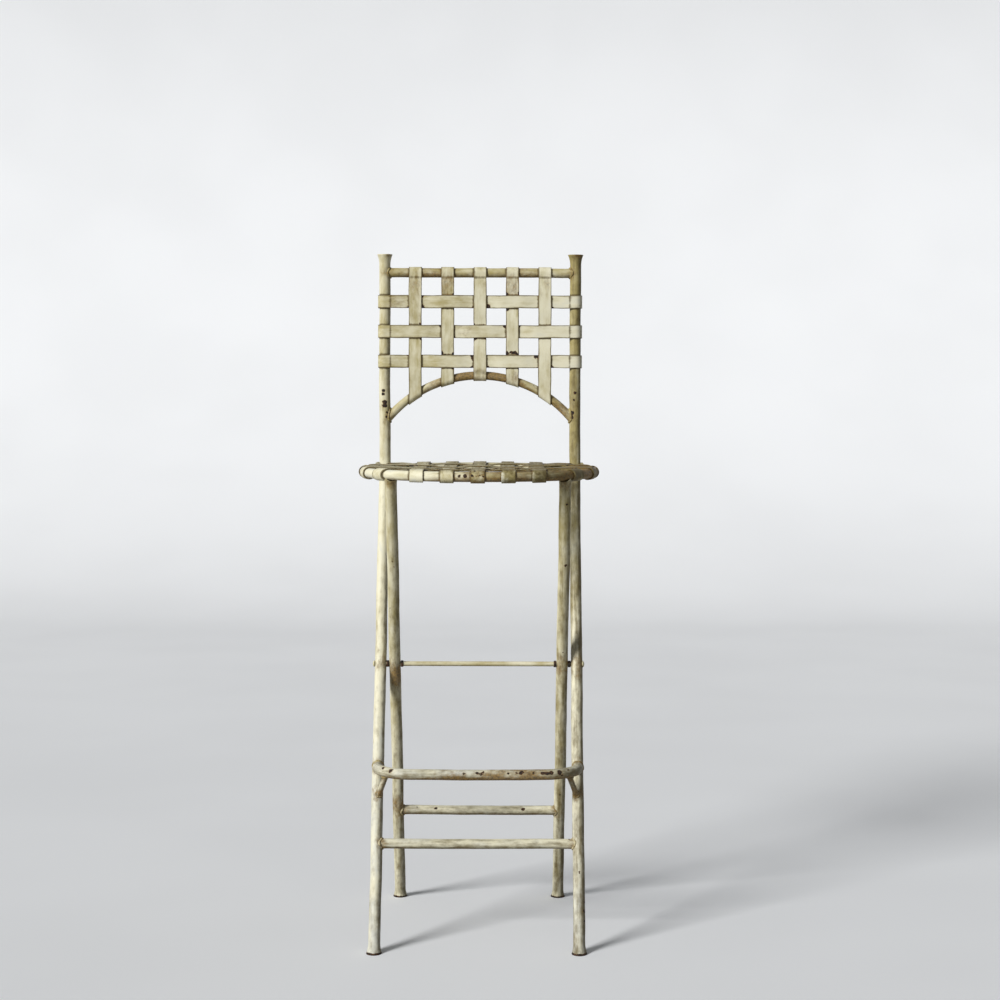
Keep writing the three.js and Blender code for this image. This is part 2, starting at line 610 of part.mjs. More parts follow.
// The rim as a carrier, met by a strap that runs at this distance from the seat's middle.
function rimEnd(offset, side) {
  const at = Math.sqrt(SEAT_RADIUS ** 2 - offset ** 2);
  return { at: side * at, radius: RIM_RADIUS, slant: at / SEAT_RADIUS };
}

const seatDip = (offset) => (at) => SEAT_DIP * Math.max(0, 1 - (at ** 2 + offset ** 2) / SEAT_RADIUS ** 2);

function seatStrap(name, offset, crossings, place) {
  const lineAt = (across) => {
    const from = offset(across);
    return strapLine(rimEnd(from, -1), rimEnd(from, 1), crossings, seatDip(from));
  };
  part(seat, name, strapGeometry(curvedAcross, lineAt, place), strapPaint);
}

seatLengthwisePlaces.forEach((x, i) => {
  const levelAt = (j) => crossingLevel(seatWeaveHeight, i, j, 1);
  const crossings = seatCrosswisePlaces.map((at, j) => ({ at, level: levelAt(j) }));
  const place = (along, across, height) => new THREE.Vector3(x - across, along, height);
  seatStrap("seat_strap_lengthwise_" + (i + 1), (across) => x - across, crossings, place);
});

seatCrosswisePlaces.forEach((y, j) => {
  const levelAt = (i) => crossingLevel(seatWeaveHeight, i, j, -1);
  const crossings = seatLengthwisePlaces.map((at, i) => ({ at, level: levelAt(i) }));
  const place = (along, across, height) => new THREE.Vector3(along, y + across, height);
  seatStrap("seat_strap_crosswise_" + (j + 1), (across) => y + across, crossings, place);
});

const chair = new THREE.Group();
chair.add(backFrame, rearLegFrame, seat);

export default chair;
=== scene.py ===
# A tall folding iron chair in stained, peeling cream paint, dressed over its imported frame.
# Metres, +Z up. The origin is on the floor below the middle of the seat; -Y is the front of the chair.
import json
import math

import bmesh
import bpy
import numpy as np
from mathutils import Matrix, Vector

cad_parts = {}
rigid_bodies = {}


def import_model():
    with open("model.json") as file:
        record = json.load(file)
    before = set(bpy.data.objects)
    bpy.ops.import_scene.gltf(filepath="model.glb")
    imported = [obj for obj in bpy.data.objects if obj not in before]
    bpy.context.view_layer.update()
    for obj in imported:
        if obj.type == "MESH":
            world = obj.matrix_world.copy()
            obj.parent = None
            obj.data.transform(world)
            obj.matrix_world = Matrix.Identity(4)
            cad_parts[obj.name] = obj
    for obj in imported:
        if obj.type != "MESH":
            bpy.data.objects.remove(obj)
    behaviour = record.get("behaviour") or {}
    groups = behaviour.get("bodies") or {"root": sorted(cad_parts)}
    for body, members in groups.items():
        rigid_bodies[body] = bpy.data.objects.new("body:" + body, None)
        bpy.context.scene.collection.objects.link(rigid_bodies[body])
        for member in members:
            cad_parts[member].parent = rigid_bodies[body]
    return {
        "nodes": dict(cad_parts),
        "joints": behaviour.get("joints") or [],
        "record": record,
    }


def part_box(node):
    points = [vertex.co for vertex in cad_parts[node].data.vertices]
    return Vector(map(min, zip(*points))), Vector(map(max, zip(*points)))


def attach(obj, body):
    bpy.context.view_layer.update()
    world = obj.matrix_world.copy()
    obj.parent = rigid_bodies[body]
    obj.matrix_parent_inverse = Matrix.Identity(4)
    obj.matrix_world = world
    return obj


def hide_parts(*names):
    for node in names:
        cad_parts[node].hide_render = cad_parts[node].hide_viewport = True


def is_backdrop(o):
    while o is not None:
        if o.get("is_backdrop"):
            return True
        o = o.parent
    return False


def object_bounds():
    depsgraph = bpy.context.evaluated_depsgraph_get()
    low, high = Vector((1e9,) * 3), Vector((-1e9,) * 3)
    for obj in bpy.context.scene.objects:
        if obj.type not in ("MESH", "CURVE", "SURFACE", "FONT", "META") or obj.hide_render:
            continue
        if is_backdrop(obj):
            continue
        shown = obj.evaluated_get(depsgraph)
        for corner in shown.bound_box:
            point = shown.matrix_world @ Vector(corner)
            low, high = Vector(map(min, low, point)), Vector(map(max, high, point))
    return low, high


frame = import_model()
cad_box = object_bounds()

MM = 0.001

# Sizes of the tubes and straps
LEG_RADIUS = 9.5 * MM
FOOT_FLARE_RADIUS = 12.5 * MM
TOP_FLARE_RADIUS = 13.2 * MM
FLARE_LENGTH = 17 * MM
SADDLE_FLARE_RADIUS = 11.7 * MM
MOUTH_WALL = 1.6 * MM
MOUTH_DEPTH = 12 * MM
MOUTH_EASE = 0.4 * MM
MOUTH_FLOOR_RADIUS = 0.1 * MM  # of the point that closes the mouth's floor
POST_BEND_RADIUS = 100 * MM
ARCH_RADIUS = 204 * MM
HOOP_CORNER_RADIUS = 60 * MM
BRACE_RADIUS = 4.5 * MM
BRACE_FOOT_HEIGHT = 228 * MM
BRACE_CORNER_ANGLE = math.radians(45)
HOOP_STUB = 40 * MM  # from a point on the hoop to its welded end
ARCH_STUB = 50 * MM  # from a point on the arch's end line to its welded end
PIVOT_RADIUS = 4 * MM
PIVOT_HOLE_RADIUS = 4.3 * MM
RIVET_HEAD_HEIGHT = 3 * MM
RING_EASE = 0.4 * MM
STRAP_WIDTH = 22 * MM
STRAP_THICKNESS = 1.6 * MM
STRAP_GAP = 0.5 * MM
CROSSING_GAP = 0.3 * MM
STRAP_TURN = math.radians(230)
BACK_WEAVE_OFFSET = 10.1 * MM
SEAT_DIP = 4 * MM
SADDLE_GAP = 0.6 * MM

# Fineness of the meshes
TUBE_SIDES = 28
ROD_SIDES = 24
TUBE_STEP = 2 * MM
BEND_STEP = math.radians(2)
WRAP_STEPS = 22
WEAVE_STEPS = 16
ARCH_STEPS = 120
RIM_STEPS = 180
SHANK_STEPS = 60
BEAD_SIDES = 10
BEAD_STEPS = 56
STEEP_SHARE = 0.9  # rise over length from which a run is steep

# Hand-made unevenness
WANDER = 0.5 * MM
ARCH_WANDER = 0.2 * MM
WANDER_LENGTHS = (0.42, 0.35)  # of the longest waves, in the two directions across a tube
RADIUS_RIPPLE = 0.1 * MM
RADIUS_RIPPLE_LENGTH = 0.09
OVALNESS = 0.6
STEADY_END = 20 * MM  # a tube grows uneven over this much of its ends
LEVEL_FOOT = 30 * MM  # a leg's rings turn level with the floor over this much of its foot
EDGE_WAVE = 0.35 * MM
EDGE_WAVE_LENGTH = 0.11
BEAD_RADIUS = 1.8 * MM
BEAD_SWELL = 0.28
BEAD_SWELL_LENGTH = 0.2  # as a share of the way round the bead
BEAD_GRAIN = 0.12
RIPPLE_WAVES = 4
RIPPLE_SHORTENING = 1.9
RIPPLE_WEAKENING = 1.7

# Seeds of the unevenness: the first of each kind of piece, and the steps between pieces of one kind
SEED = {
    "upright": 3,
    "bar_weld": 30,
    "hoop_weld": 40,
    "brace_foot_weld": 44,
    "brace_top_weld": 48,
    "arch_weld": 52,
    "rear_leg": 60,
    "brace": 80,
    "bar": 90,
    "hoop": 101,
    "arch": 110,
    "back_upright": 200,
    "back_cross": 300,
    "seat_lengthwise": 400,
    "seat_crosswise": 500,
}
LEG_SEED_STEP = 9
BAR_SEED_STEP = 3
WELD_SEED_STEP = 2
STRAP_SEED_STEP = 11
FAR_EDGE_SEED_STEP = 7

X_AXIS = np.array([1.0, 0.0, 0.0])
Y_AXIS = np.array([0.0, 1.0, 0.0])
Z_AXIS = np.array([0.0, 0.0, 1.0])
SIDES = (("left", -1), ("right", 1))


def box(node):
    low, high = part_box(node)
    return np.array(low), np.array(high)


def middle(node):
    low, high = box(node)
    return (low + high) / 2


def half_height(node):
    low, high = box(node)
    return (high[2] - low[2]) / 2


# Places taken from the frame
record = frame["record"]
mounts = {mount["name"]: np.array(mount["pos_m"], float) for mount in record["mounts"]}
joints = {joint["name"]: joint for joint in frame["joints"]}
pivot = np.array(joints["leg_fold"]["pos_m"], float)
seat_pivot = np.array(joints["seat_fold"]["pos_m"], float)
post_y = middle("top_rail")[1]
outer_x = mounts["right_front_foot"][0]
inner_x = mounts["right_rear_foot"][0]
post_top = box("right_upright")[1][2]
seat_height = middle("seat_rim")[2]
rim_tube = half_height("seat_rim")
seat_radius = box("seat_rim")[1][0] - rim_tube
hoop_height = middle("footrest_hoop")[2]
hoop_tube = half_height("footrest_hoop")
lean = np.array([0.0, pivot[1] - mounts["left_front_foot"][1], pivot[2]])
lean_slope = lean[1] / lean[2]


def upright_y(height):
    return pivot[1] + (height - pivot[2]) * lean_slope


def rear_leg_y(height):
    return pivot[1] - (height - pivot[2]) * lean_slope


# Lines and meshes
class Path:
    """A flat line through points, measured by the distance along it. `side` is square to its plane."""

    def __init__(self, points, side):
        self.points = np.array(points, float)
        self.side = side
        steps = np.linalg.norm(np.diff(self.points, axis=0), axis=1)
        self.places = np.concatenate([[0], np.cumsum(steps)])
        self.length = self.places[-1]

    def at(self, place):
        return np.stack([np.interp(place, self.places, self.points[:, k]) for k in range(3)], axis=-1)

    def along(self, place):
        reach = 0.5 * MM
        low = np.clip(place - reach, 0, self.length - 2 * reach)
        run = self.at(low + 2 * reach) - self.at(low)
        return run / np.linalg.norm(run, axis=-1, keepdims=True)

    def lay(self, verts):
        """Points near the path, as a distance along it and two offsets across it."""
        places = np.arange(0, self.length, TUBE_STEP)
        centres = self.at(places)
        nearest = np.argmin(np.linalg.norm(verts[:, None] - centres, axis=2), axis=1)
        run = self.along(places)[nearest]
        off = verts - centres[nearest]
        along = places[nearest] + np.sum(off * run, axis=1)
        return np.stack([along, np.sum(off * np.cross(run, self.side), axis=1), off @ self.side], axis=1)


def rounded(corners, radius):
    """The points of a line through corners, with each inner corner rounded to an arc."""
    corners = [np.array(c, float) for c in corners]
    line = [corners[0]]
    for before, corner, after in zip(corners, corners[1:], corners[2:]):
        back = (before - corner) / np.linalg.norm(before - corner)
        ahead = (after - corner) / np.linalg.norm(after - corner)
        turn = math.pi - math.acos(np.clip(back @ ahead, -1, 1))
        trim = radius * math.tan(turn / 2)
        inward = (back + ahead) / np.linalg.norm(back + ahead)
        centre = corner + inward * math.hypot(radius, trim)
        start = corner + back * trim - centre
        finish = corner + ahead * trim - centre
        steps = max(2, math.ceil(turn / BEND_STEP))
        for k in range(steps + 1):
            share = k / steps
            blend = math.sin((1 - share) * turn) * start + math.sin(share * turn) * finish
            line.append(centre + blend / math.sin(turn))
    line.append(corners[-1])
    return line


def ripple(place, seed, longest):
    """A smooth, uneven wave of about one unit along a line, the same for the same seed."""
    rng = np.random.default_rng(seed)
    total = np.zeros_like(place)
    for k in range(RIPPLE_WAVES):
        length = longest / RIPPLE_SHORTENING**k
        wave = np.sin(2 * math.pi * (place / length + rng.random()))
        total += wave / RIPPLE_WEAKENING ** (k + 1)
    return total


def circle(sides):
    """The angles of points spread evenly round a circle."""
    return np.arange(sides) / sides * 2 * math.pi


def grid_faces(rows, columns, closed_rows=False):
    """Faces of a grid of points whose columns close on themselves, as do its rows if asked."""
    faces = []
    for i in range(rows if closed_rows else rows - 1):
        a = i * columns
        b = ((i + 1) % rows) * columns
        for k in range(columns):
            n = (k + 1) % columns
            faces.append((a + k, a + n, b + n, b + k))
    if not closed_rows:
        faces.append(tuple(reversed(range(columns))))
        faces.append(tuple(range((rows - 1) * columns, rows * columns)))
    return faces


def tube(path, stations, sides=TUBE_SIDES, seed=0, wander=WANDER, foot=False):
    """A round tube along a path, from [distance, radius] stations, a little uneven as forged tube is."""
    place = np.array([s[0] for s in stations])
    radius = np.array([s[1] for s in stations])
    run = path.along(place)
    out = np.cross(run, path.side)
    loose = np.clip(np.minimum(place, path.length - place) / STEADY_END, 0, 1)[:, None]
    centre = path.at(place)
    for k, (longest, across) in enumerate(zip(WANDER_LENGTHS, (out, path.side))):
        centre = centre + loose * wander * ripple(place, seed + k, longest)[:, None] * across
    angle = circle(sides)
    ring = np.cos(angle)[None, :, None] * out[:, None, :] + np.sin(angle)[None, :, None] * path.side
    oval = 1 + OVALNESS * np.sin(2 * angle + seed)
    swell = ripple(place, seed + 2, RADIUS_RIPPLE_LENGTH)[:, None] * oval[None, :]
    reach = radius[:, None] + RADIUS_RIPPLE * loose * swell
    offset = reach[:, :, None] * ring
    if foot:
        flat = np.clip(1 - place / LEVEL_FOOT, 0, 1)
        shift = -offset[:, :, 2] / run[:, None, 2] * flat[:, None]
        offset = offset + shift[:, :, None] * run[:, None, :]
    verts = (centre[:, None, :] + offset).reshape(-1, 3)
    return verts, grid_faces(len(stations), sides)


def even_stations(length, radius):
    count = max(2, math.ceil(length / TUBE_STEP) + 1)
    return [(place, radius) for place in np.linspace(0, length, count)]


def trumpet(distance, radius, lip):
    """Radius of a tube at a distance from its flared end."""
    share = max(0.0, 1 - distance / FLARE_LENGTH)
    return radius + (lip - radius) * share**2


def joined(parts):
    """Several meshes as one."""
    verts, faces, start = [], [], 0
    for part_verts, part_faces in parts:
        verts.append(part_verts)
        faces.extend(tuple(start + v for v in face) for face in part_faces)
        start += len(part_verts)
    return np.concatenate(verts), faces


def new_object(name, shape):
    """An object from points and faces, its faces pointing out."""
    verts, faces = shape
    mesh = bpy.data.meshes.new(name)
    mesh.from_pydata([tuple(v) for v in verts], [], faces)
    work = bmesh.new()
    work.from_mesh(mesh)
    bmesh.ops.recalc_face_normals(work, faces=work.faces)
    work.to_mesh(mesh)
    work.free()
    made = bpy.data.objects.new(name, mesh)
    bpy.context.scene.collection.objects.link(made)
    return made


def cut_away(target, shape):
    """Takes a solid out of a piece."""
    cutter = new_object("cutter", shape)
    cut = target.modifiers.new("cut", "BOOLEAN")
    cut.operation = "DIFFERENCE"
    cut.solver = "EXACT"
    cut.object = cutter
    bpy.context.view_layer.update()
    ready = target.evaluated_get(bpy.context.evaluated_depsgraph_get())
    old = target.data
    target.data = bpy.data.meshes.new_from_object(ready)
    target.modifiers.clear()
    bpy.data.meshes.remove(old)
    bpy.data.objects.remove(cutter)


def straight(start, end):
    run = np.array(end, float) - np.array(start, float)
    steep = abs(run[2]) >= STEEP_SHARE * np.linalg.norm(run)
    side = np.cross(run, X_AXIS if steep else Z_AXIS)
    return Path([start, end], side / np.linalg.norm(side))


def bar(start, end, radius, seed=0, wander=WANDER):
    path = straight(start, end)
    return tube(path, even_stations(path.length, radius), ROD_SIDES, seed, wander)


def drill(y, z, radius):
    """A rod across the chair, to cut holes with."""
    return bar((-2 * outer_x, y, z), (2 * outer_x, y, z), radius, wander=0)


# Weld beads, one closed lumpy ring round each end of a bar
weld_places = []


def weld_bead(bar_point, bar_run, bar_radius, post_point, post_run, post_radius, seed):
    """A bead round the line where a bar meets a tube. `bar_run` points from the bar into the tube."""
    bar_run = bar_run / np.linalg.norm(bar_run)
    post_run = post_run / np.linalg.norm(post_run)
    first = np.cross(bar_run, post_run)
    first /= np.linalg.norm(first)
    second = np.cross(bar_run, first)
    seam = []
    for k in range(BEAD_STEPS):
        angle = 2 * math.pi * k / BEAD_STEPS
        start = bar_point + bar_radius * (math.cos(angle) * first + math.sin(angle) * second)
        gap = start - post_point
        across = gap - (gap @ post_run) * post_run
        run = bar_run - (bar_run @ post_run) * post_run
        # Where the bar's edge line first meets the tube
        a = run @ run
        b = across @ run
        c = across @ across - post_radius**2
        root = math.sqrt(max(0.0, b * b - a * c))
        seam.append(start + bar_run * (-b - root) / a)
    seam = np.array(seam)
    centre = seam.mean(axis=0)
    weld_places.append(centre)
    rng = np.random.default_rng(seed)
    lumps = ripple(np.linspace(0, 1, BEAD_STEPS, endpoint=False), seed, BEAD_SWELL_LENGTH)
    swell = 1 + BEAD_SWELL * lumps + BEAD_GRAIN * rng.random(BEAD_STEPS)
    turn = circle(BEAD_SIDES)
    rings = []
    for k in range(BEAD_STEPS):
        run = seam[(k + 1) % BEAD_STEPS] - seam[k - 1]
        run /= np.linalg.norm(run)
        out = seam[k] - centre
        out -= (out @ run) * run
        out /= np.linalg.norm(out)
        up = np.cross(run, out)
        size = BEAD_RADIUS * swell[k]
        rings.append(seam[k] + size * (np.cos(turn)[:, None] * out + np.sin(turn)[:, None] * up))
    return np.concatenate(rings), grid_faces(BEAD_STEPS, BEAD_SIDES, True)


# Straps
def smooth_step(share):
    return share * share * (3 - 2 * share)


def strap_line(first, last, crossings, dip):
    """Middle line of a strap as [along, height] points: a turned end, the weave, a turned end."""

    def turned_end(tube_end, sign):
        at, radius, slant = tube_end
        reach = radius + STRAP_GAP + STRAP_THICKNESS / 2
        angles = [STRAP_TURN * k / WRAP_STEPS for k in range(WRAP_STEPS + 1)]
        return [(at + sign * reach / slant * math.sin(a), reach * math.cos(a)) for a in angles]

    start = turned_end(first, -1)[::-1]
    end = turned_end(last, 1)
    flat = STRAP_WIDTH / 2 + STRAP_THICKNESS
    knots = [start[-1]]
    for at, level in crossings:
        knots += [(at - flat, level), (at + flat, level)]
    knots.append(end[0])
    weave = []
    for (from_at, from_level), (to_at, to_level) in zip(knots, knots[1:]):
        for k in range(WEAVE_STEPS):
            share = k / WEAVE_STEPS
            at = from_at + (to_at - from_at) * share
            level = from_level + (to_level - from_level) * smooth_step(share)
            weave.append((at, level - dip(at)))
    return np.array(start[:-1] + weave + end)


def strap_section():
    """Points round a strap's cross-section, as (share across, share of thickness), with eased corners."""
    across = (-0.97, -0.92, -0.82, -0.5, 0.0, 0.5, 0.82, 0.92, 0.97)
    top = [(u, 1.0) for u in across]
    edge = [(0.995, 0.7), (1.0, 0.0), (0.995, -0.7)]
    bottom = [(-u, -1.0) for u in across]
    return top + edge + bottom + [(-u, -h) for u, h in edge]


# Dirt with painted shade, and chips, on the straps: along the edges, where a strap meets a tube and beside
# the straps that cross over it, with the edges' own as shares of half the width
EDGE_DIRT_AND_SHADE = 0.95
EDGE_DIRT_AND_SHADE_START = 0.7
EDGE_DIRT_AND_SHADE_SPAN = 0.22
EDGE_CHIP = 0.38
EDGE_CHIP_START = 0.88
EDGE_CHIP_SPAN = 0.1
LAP_DIRT_AND_SHADE = 0.95
CROSSING_DIRT_AND_SHADE = 1.2
CROSSING_DIRT_AND_SHADE_REACH = 2.2 * MM
CROSSING_CHIP = 0.42
CORNER_CHIP_RADIUS = (4 * MM, 9 * MM)
CORNER_CHIP_STRENGTH = (0.2, 1.2)
CHIP_CORE = 1.25


def soft_spot(distance):
    return np.exp(-distance * distance)


def hard_spot(distance):
    return np.clip(CHIP_CORE - distance, 0, 1)


def crossing_wear(along, across, crossings, base, laps, seed):
    """How dirty, how darkened by painted shade and how chipped a strap is: along its edges, where it meets a
    tube, and where it dives below the straps that cross it."""
    rng = np.random.default_rng(seed)
    half = STRAP_WIDTH / 2
    edge = abs(across) / half
    # Dirt with painted shade along the strap's edges, where the thin edge falls into shadow
    dirt = EDGE_DIRT_AND_SHADE * np.clip((edge - EDGE_DIRT_AND_SHADE_START) / EDGE_DIRT_AND_SHADE_SPAN, 0, 1) ** 2
    chip = EDGE_CHIP * np.clip((edge - EDGE_CHIP_START) / EDGE_CHIP_SPAN, 0, 1)
    # Dirt with painted shade where the strap meets a tube
    for at in laps:
        dirt = np.maximum(dirt, LAP_DIRT_AND_SHADE * soft_spot((along - at) / CROSSING_DIRT_AND_SHADE_REACH))
    for at, height in crossings:
        if height > base:
            continue
        gap = np.abs(np.abs(along - at) - half)
        # Dirt with painted shade beside the edges of a strap that crosses over this one
        line = soft_spot(gap / CROSSING_DIRT_AND_SHADE_REACH)
        dirt = np.maximum(dirt, CROSSING_DIRT_AND_SHADE * line)
        chip = np.maximum(chip, CROSSING_CHIP * line)
        for end in (-1, 1):
            for side in (-1, 1):
                reach = rng.uniform(*CORNER_CHIP_RADIUS)
                strength = rng.uniform(*CORNER_CHIP_STRENGTH)
                distance = np.hypot(along - at - end * half, across - side * half)
                chip = np.maximum(chip, strength * hard_spot(distance / reach))
    return dirt, chip


def strap(line_at, place, crossings, base, laps, seed):
    """A flat strip of metal and its wear. `line_at(across)` gives its middle line, `place(...)` a point."""
    columns, alongs, acrosses = [], [], []
    for u, h in strap_section():
        across = u * STRAP_WIDTH / 2
        line = line_at(across)
        run = np.gradient(line, axis=0)
        run /= np.linalg.norm(run, axis=1, keepdims=True)
        off = np.stack([-run[:, 1], run[:, 0]], axis=1) * h * STRAP_THICKNESS / 2
        distance = np.concatenate([[0], np.cumsum(np.linalg.norm(np.diff(line, axis=0), axis=1))])
        edge_seed = seed + FAR_EDGE_SEED_STEP if u > 0 else seed
        wave = EDGE_WAVE * ripple(distance, edge_seed, EDGE_WAVE_LENGTH) * abs(u)
        columns.append(place(line[:, 0] + off[:, 0], across + wave, line[:, 1] + off[:, 1]))
        alongs.append(line[:, 0])
        acrosses.append(np.full(len(line), across))
    verts = np.stack(columns, axis=1)
    rows, section = verts.shape[:2]
    along = np.stack(alongs, axis=1).reshape(-1)
    across = np.stack(acrosses, axis=1).reshape(-1)
    dirt, chip = crossing_wear(along, across, crossings, base, laps, seed)
    return (verts.reshape(-1, 3), grid_faces(rows, section)), dirt, chip


def points(x, y, z):
    """Points from coordinates, each a number or an array."""
    return np.stack(np.broadcast_arrays(x, y, z), axis=-1).astype(float)


# Materials
MIX_LOW = 6  # colour sockets of a Mix node
MIX_HIGH = 7
MIX_RESULT = 2


class Tree:
    """A short way to add shader nodes."""

    def __init__(self, name):
        self.material = bpy.data.materials.new(name)
        self.material.use_nodes = True
        self.nodes = self.material.node_tree.nodes
        self.links = self.material.node_tree.links
        self.shader = self.nodes["Principled BSDF"]
        self.place = self.nodes.new("ShaderNodeTexCoord").outputs["Object"]

    def link(self, value, socket):
        if hasattr(value, "is_output"):
            self.links.new(value, socket)
        else:
            socket.default_value = value

    def attribute(self, name, output="Fac"):
        node = self.nodes.new("ShaderNodeAttribute")
        node.attribute_name = name
        return node.outputs[output]

    def noise(self, scale, detail=4.0, roughness=0.55, stretch=1.0, distortion=0.0):
        """Noise that is `stretch` times as long along a piece as across it."""
        mapping = self.nodes.new("ShaderNodeMapping")
        mapping.inputs["Scale"].default_value = (1 / stretch, 1, 1)
        self.links.new(self.place, mapping.inputs["Vector"])
        node = self.nodes.new("ShaderNodeTexNoise")
        node.inputs["Scale"].default_value = scale
        node.inputs["Detail"].default_value = detail
        node.inputs["Roughness"].default_value = roughness
        node.inputs["Distortion"].default_value = distortion
        self.links.new(mapping.outputs["Vector"], node.inputs["Vector"])
        return node.outputs["Fac"]

    def math(self, operation, a, b=0.0, c=0.0):
        node = self.nodes.new("ShaderNodeMath")
        node.operation = operation
        for socket, value in zip(node.inputs, (a, b, c)):
            self.link(value, socket)
        return node.outputs[0]

    def varied(self, value, pattern, amount):
        """A value made uneven by a pattern."""
        return self.math("MULTIPLY_ADD", self.math("SUBTRACT", pattern, 0.5), amount, value)

    def ramp(self, value, low, high, to_low=0.0, to_high=1.0):
        node = self.nodes.new("ShaderNodeMapRange")
        node.interpolation_type = "SMOOTHSTEP"
        names = ("Value", "From Min", "From Max", "To Min", "To Max")
        for name, setting in zip(names, (value, low, high, to_low, to_high)):
            self.link(setting, node.inputs[name])
        return node.outputs["Result"]

    def mix(self, share, low, high):
        node = self.nodes.new("ShaderNodeMix")
        node.data_type = "RGBA"
        self.link(share, node.inputs["Factor"])
        self.link(low, node.inputs[MIX_LOW])
        self.link(high, node.inputs[MIX_HIGH])
        return node.outputs[MIX_RESULT]

    def bump(self, height, strength, distance):
        node = self.nodes.new("ShaderNodeBump")
        node.inputs["Strength"].default_value = strength
        node.inputs["Distance"].default_value = distance
        self.link(height, node.inputs["Height"])
        self.link(node.outputs["Normal"], self.shader.inputs["Normal"])


def colour(red, green, blue):
    """A colour as it looks on screen, 0 to 255, as the linear value that a shader takes."""

    def linear(value):
        share = value / 255
        return share / 12.92 if share <= 0.04045 else ((share + 0.055) / 1.055) ** 2.4

    return (linear(red), linear(green), linear(blue), 1.0)


PALE = colour(209, 209, 198)
CREAM = colour(232, 226, 197)
AGED = colour(174, 160, 104)
# Colour of dirt and of painted shade alike
DIRT_AND_SHADE = colour(94, 80, 44)
OCHRE = colour(150, 117, 60)
BROWN = colour(90, 69, 38)
IRON = colour(30, 25, 20)
RUST = colour(84, 54, 30)

WEAR_FIELDS = ("age", "dirt", "stain", "chip")
PLAIN_WEAR = (0.8, 0.5, 0.3, 0.0)  # of a piece without marks of its own


def aged_paint(name, marked=True):
    """Cream paint, yellowed, dirty, stained and broken off where the piece's own marks say so, and darkened
    by the painted shade that those marks carry.
    """
    t = Tree(name)
    age, dirt, stain, chip = PLAIN_WEAR
    if marked:
        t.place = t.attribute("lay", "Vector")
        age, dirt, stain, chip = (t.attribute(field) for field in WEAR_FIELDS)
    broad = t.noise(scale=14, detail=3, stretch=2)
    streak = t.noise(scale=140, detail=5, roughness=0.62, stretch=12)
    mottle = t.noise(scale=130, detail=6, roughness=0.62, stretch=1.8)
    fine = t.noise(scale=330, detail=5, roughness=0.6)
    flake = t.noise(scale=170, detail=5, roughness=0.55, stretch=1.8, distortion=0.4)
    stray = t.noise(scale=75, detail=4, roughness=0.5, stretch=1.5)
    patch = t.noise(scale=60, detail=4, roughness=0.6, stretch=2)
    for pattern, amount in ((broad, 0.7), (patch, 1.2), (streak, 0.8)):
        age = t.varied(age, pattern, amount)
    fresh = t.mix(t.ramp(age, -0.5, 0.2), PALE, CREAM)
    coat = t.mix(t.ramp(age, 0.1, 1.0), fresh, AGED)
    # Dirt and painted shade, in one colour
    dirt = t.varied(t.varied(dirt, mottle, 0.9), streak, 1.3)
    coat = t.mix(t.ramp(dirt, 0.2, 1.0, 0.0, 0.9), coat, DIRT_AND_SHADE)
    # Stains, and the painted shade under the pieces, in the stain colours
    spread = t.varied(stain, mottle, 1.3)
    stain_colour = t.mix(t.ramp(fine, 0.36, 0.66), OCHRE, BROWN)
    coat = t.mix(t.ramp(spread, 0.25, 0.95, 0.0, 0.85), coat, stain_colour)
    edge = t.varied(chip, flake, 1.5)
    bare = t.math("MAXIMUM", t.ramp(edge, 0.52, 0.56), t.ramp(stray, 0.74, 0.755))
    coat = t.mix(t.ramp(edge, 0.36, 0.54, 0.0, 0.6), coat, OCHRE)
    iron = t.mix(t.ramp(fine, 0.45, 0.65), IRON, RUST)
    t.link(t.mix(bare, coat, iron), t.shader.inputs["Base Color"])
    gloss = t.ramp(mottle, 0.3, 0.7, 0.5, 0.68)
    t.shader.inputs["Specular IOR Level"].default_value = 0.35
    t.link(t.math("MAXIMUM", gloss, t.math("MULTIPLY", bare, 0.82)), t.shader.inputs["Roughness"])
    t.bump(t.math("MULTIPLY_ADD", bare, -1.0, t.math("MULTIPLY", patch, 1.2)), 0.5, 0.7 * MM)
    return t.material


def rusted_iron(name):
    """Dark iron with rust and a little paint left on it."""
    t = Tree(name)
    mottle = t.noise(scale=110, detail=6, roughness=0.6)
    fine = t.noise(scale=420, detail=4, roughness=0.6)
    iron = t.mix(t.ramp(mottle, 0.4, 0.62), IRON, RUST)
    worn = t.mix(t.ramp(fine, 0.6, 0.72), iron, BROWN)
    t.link(worn, t.shader.inputs["Base Color"])
    t.link(t.ramp(mottle, 0.3, 0.7, 0.55, 0.8), t.shader.inputs["Roughness"])
    t.shader.inputs["Metallic"].default_value = 0.35
    t.bump(mottle, 0.4, 0.4 * MM)
    return t.material


paint = aged_paint("old_paint")
lug_paint = aged_paint("lug_paint", marked=False)
bare_iron = rusted_iron("bare_iron")
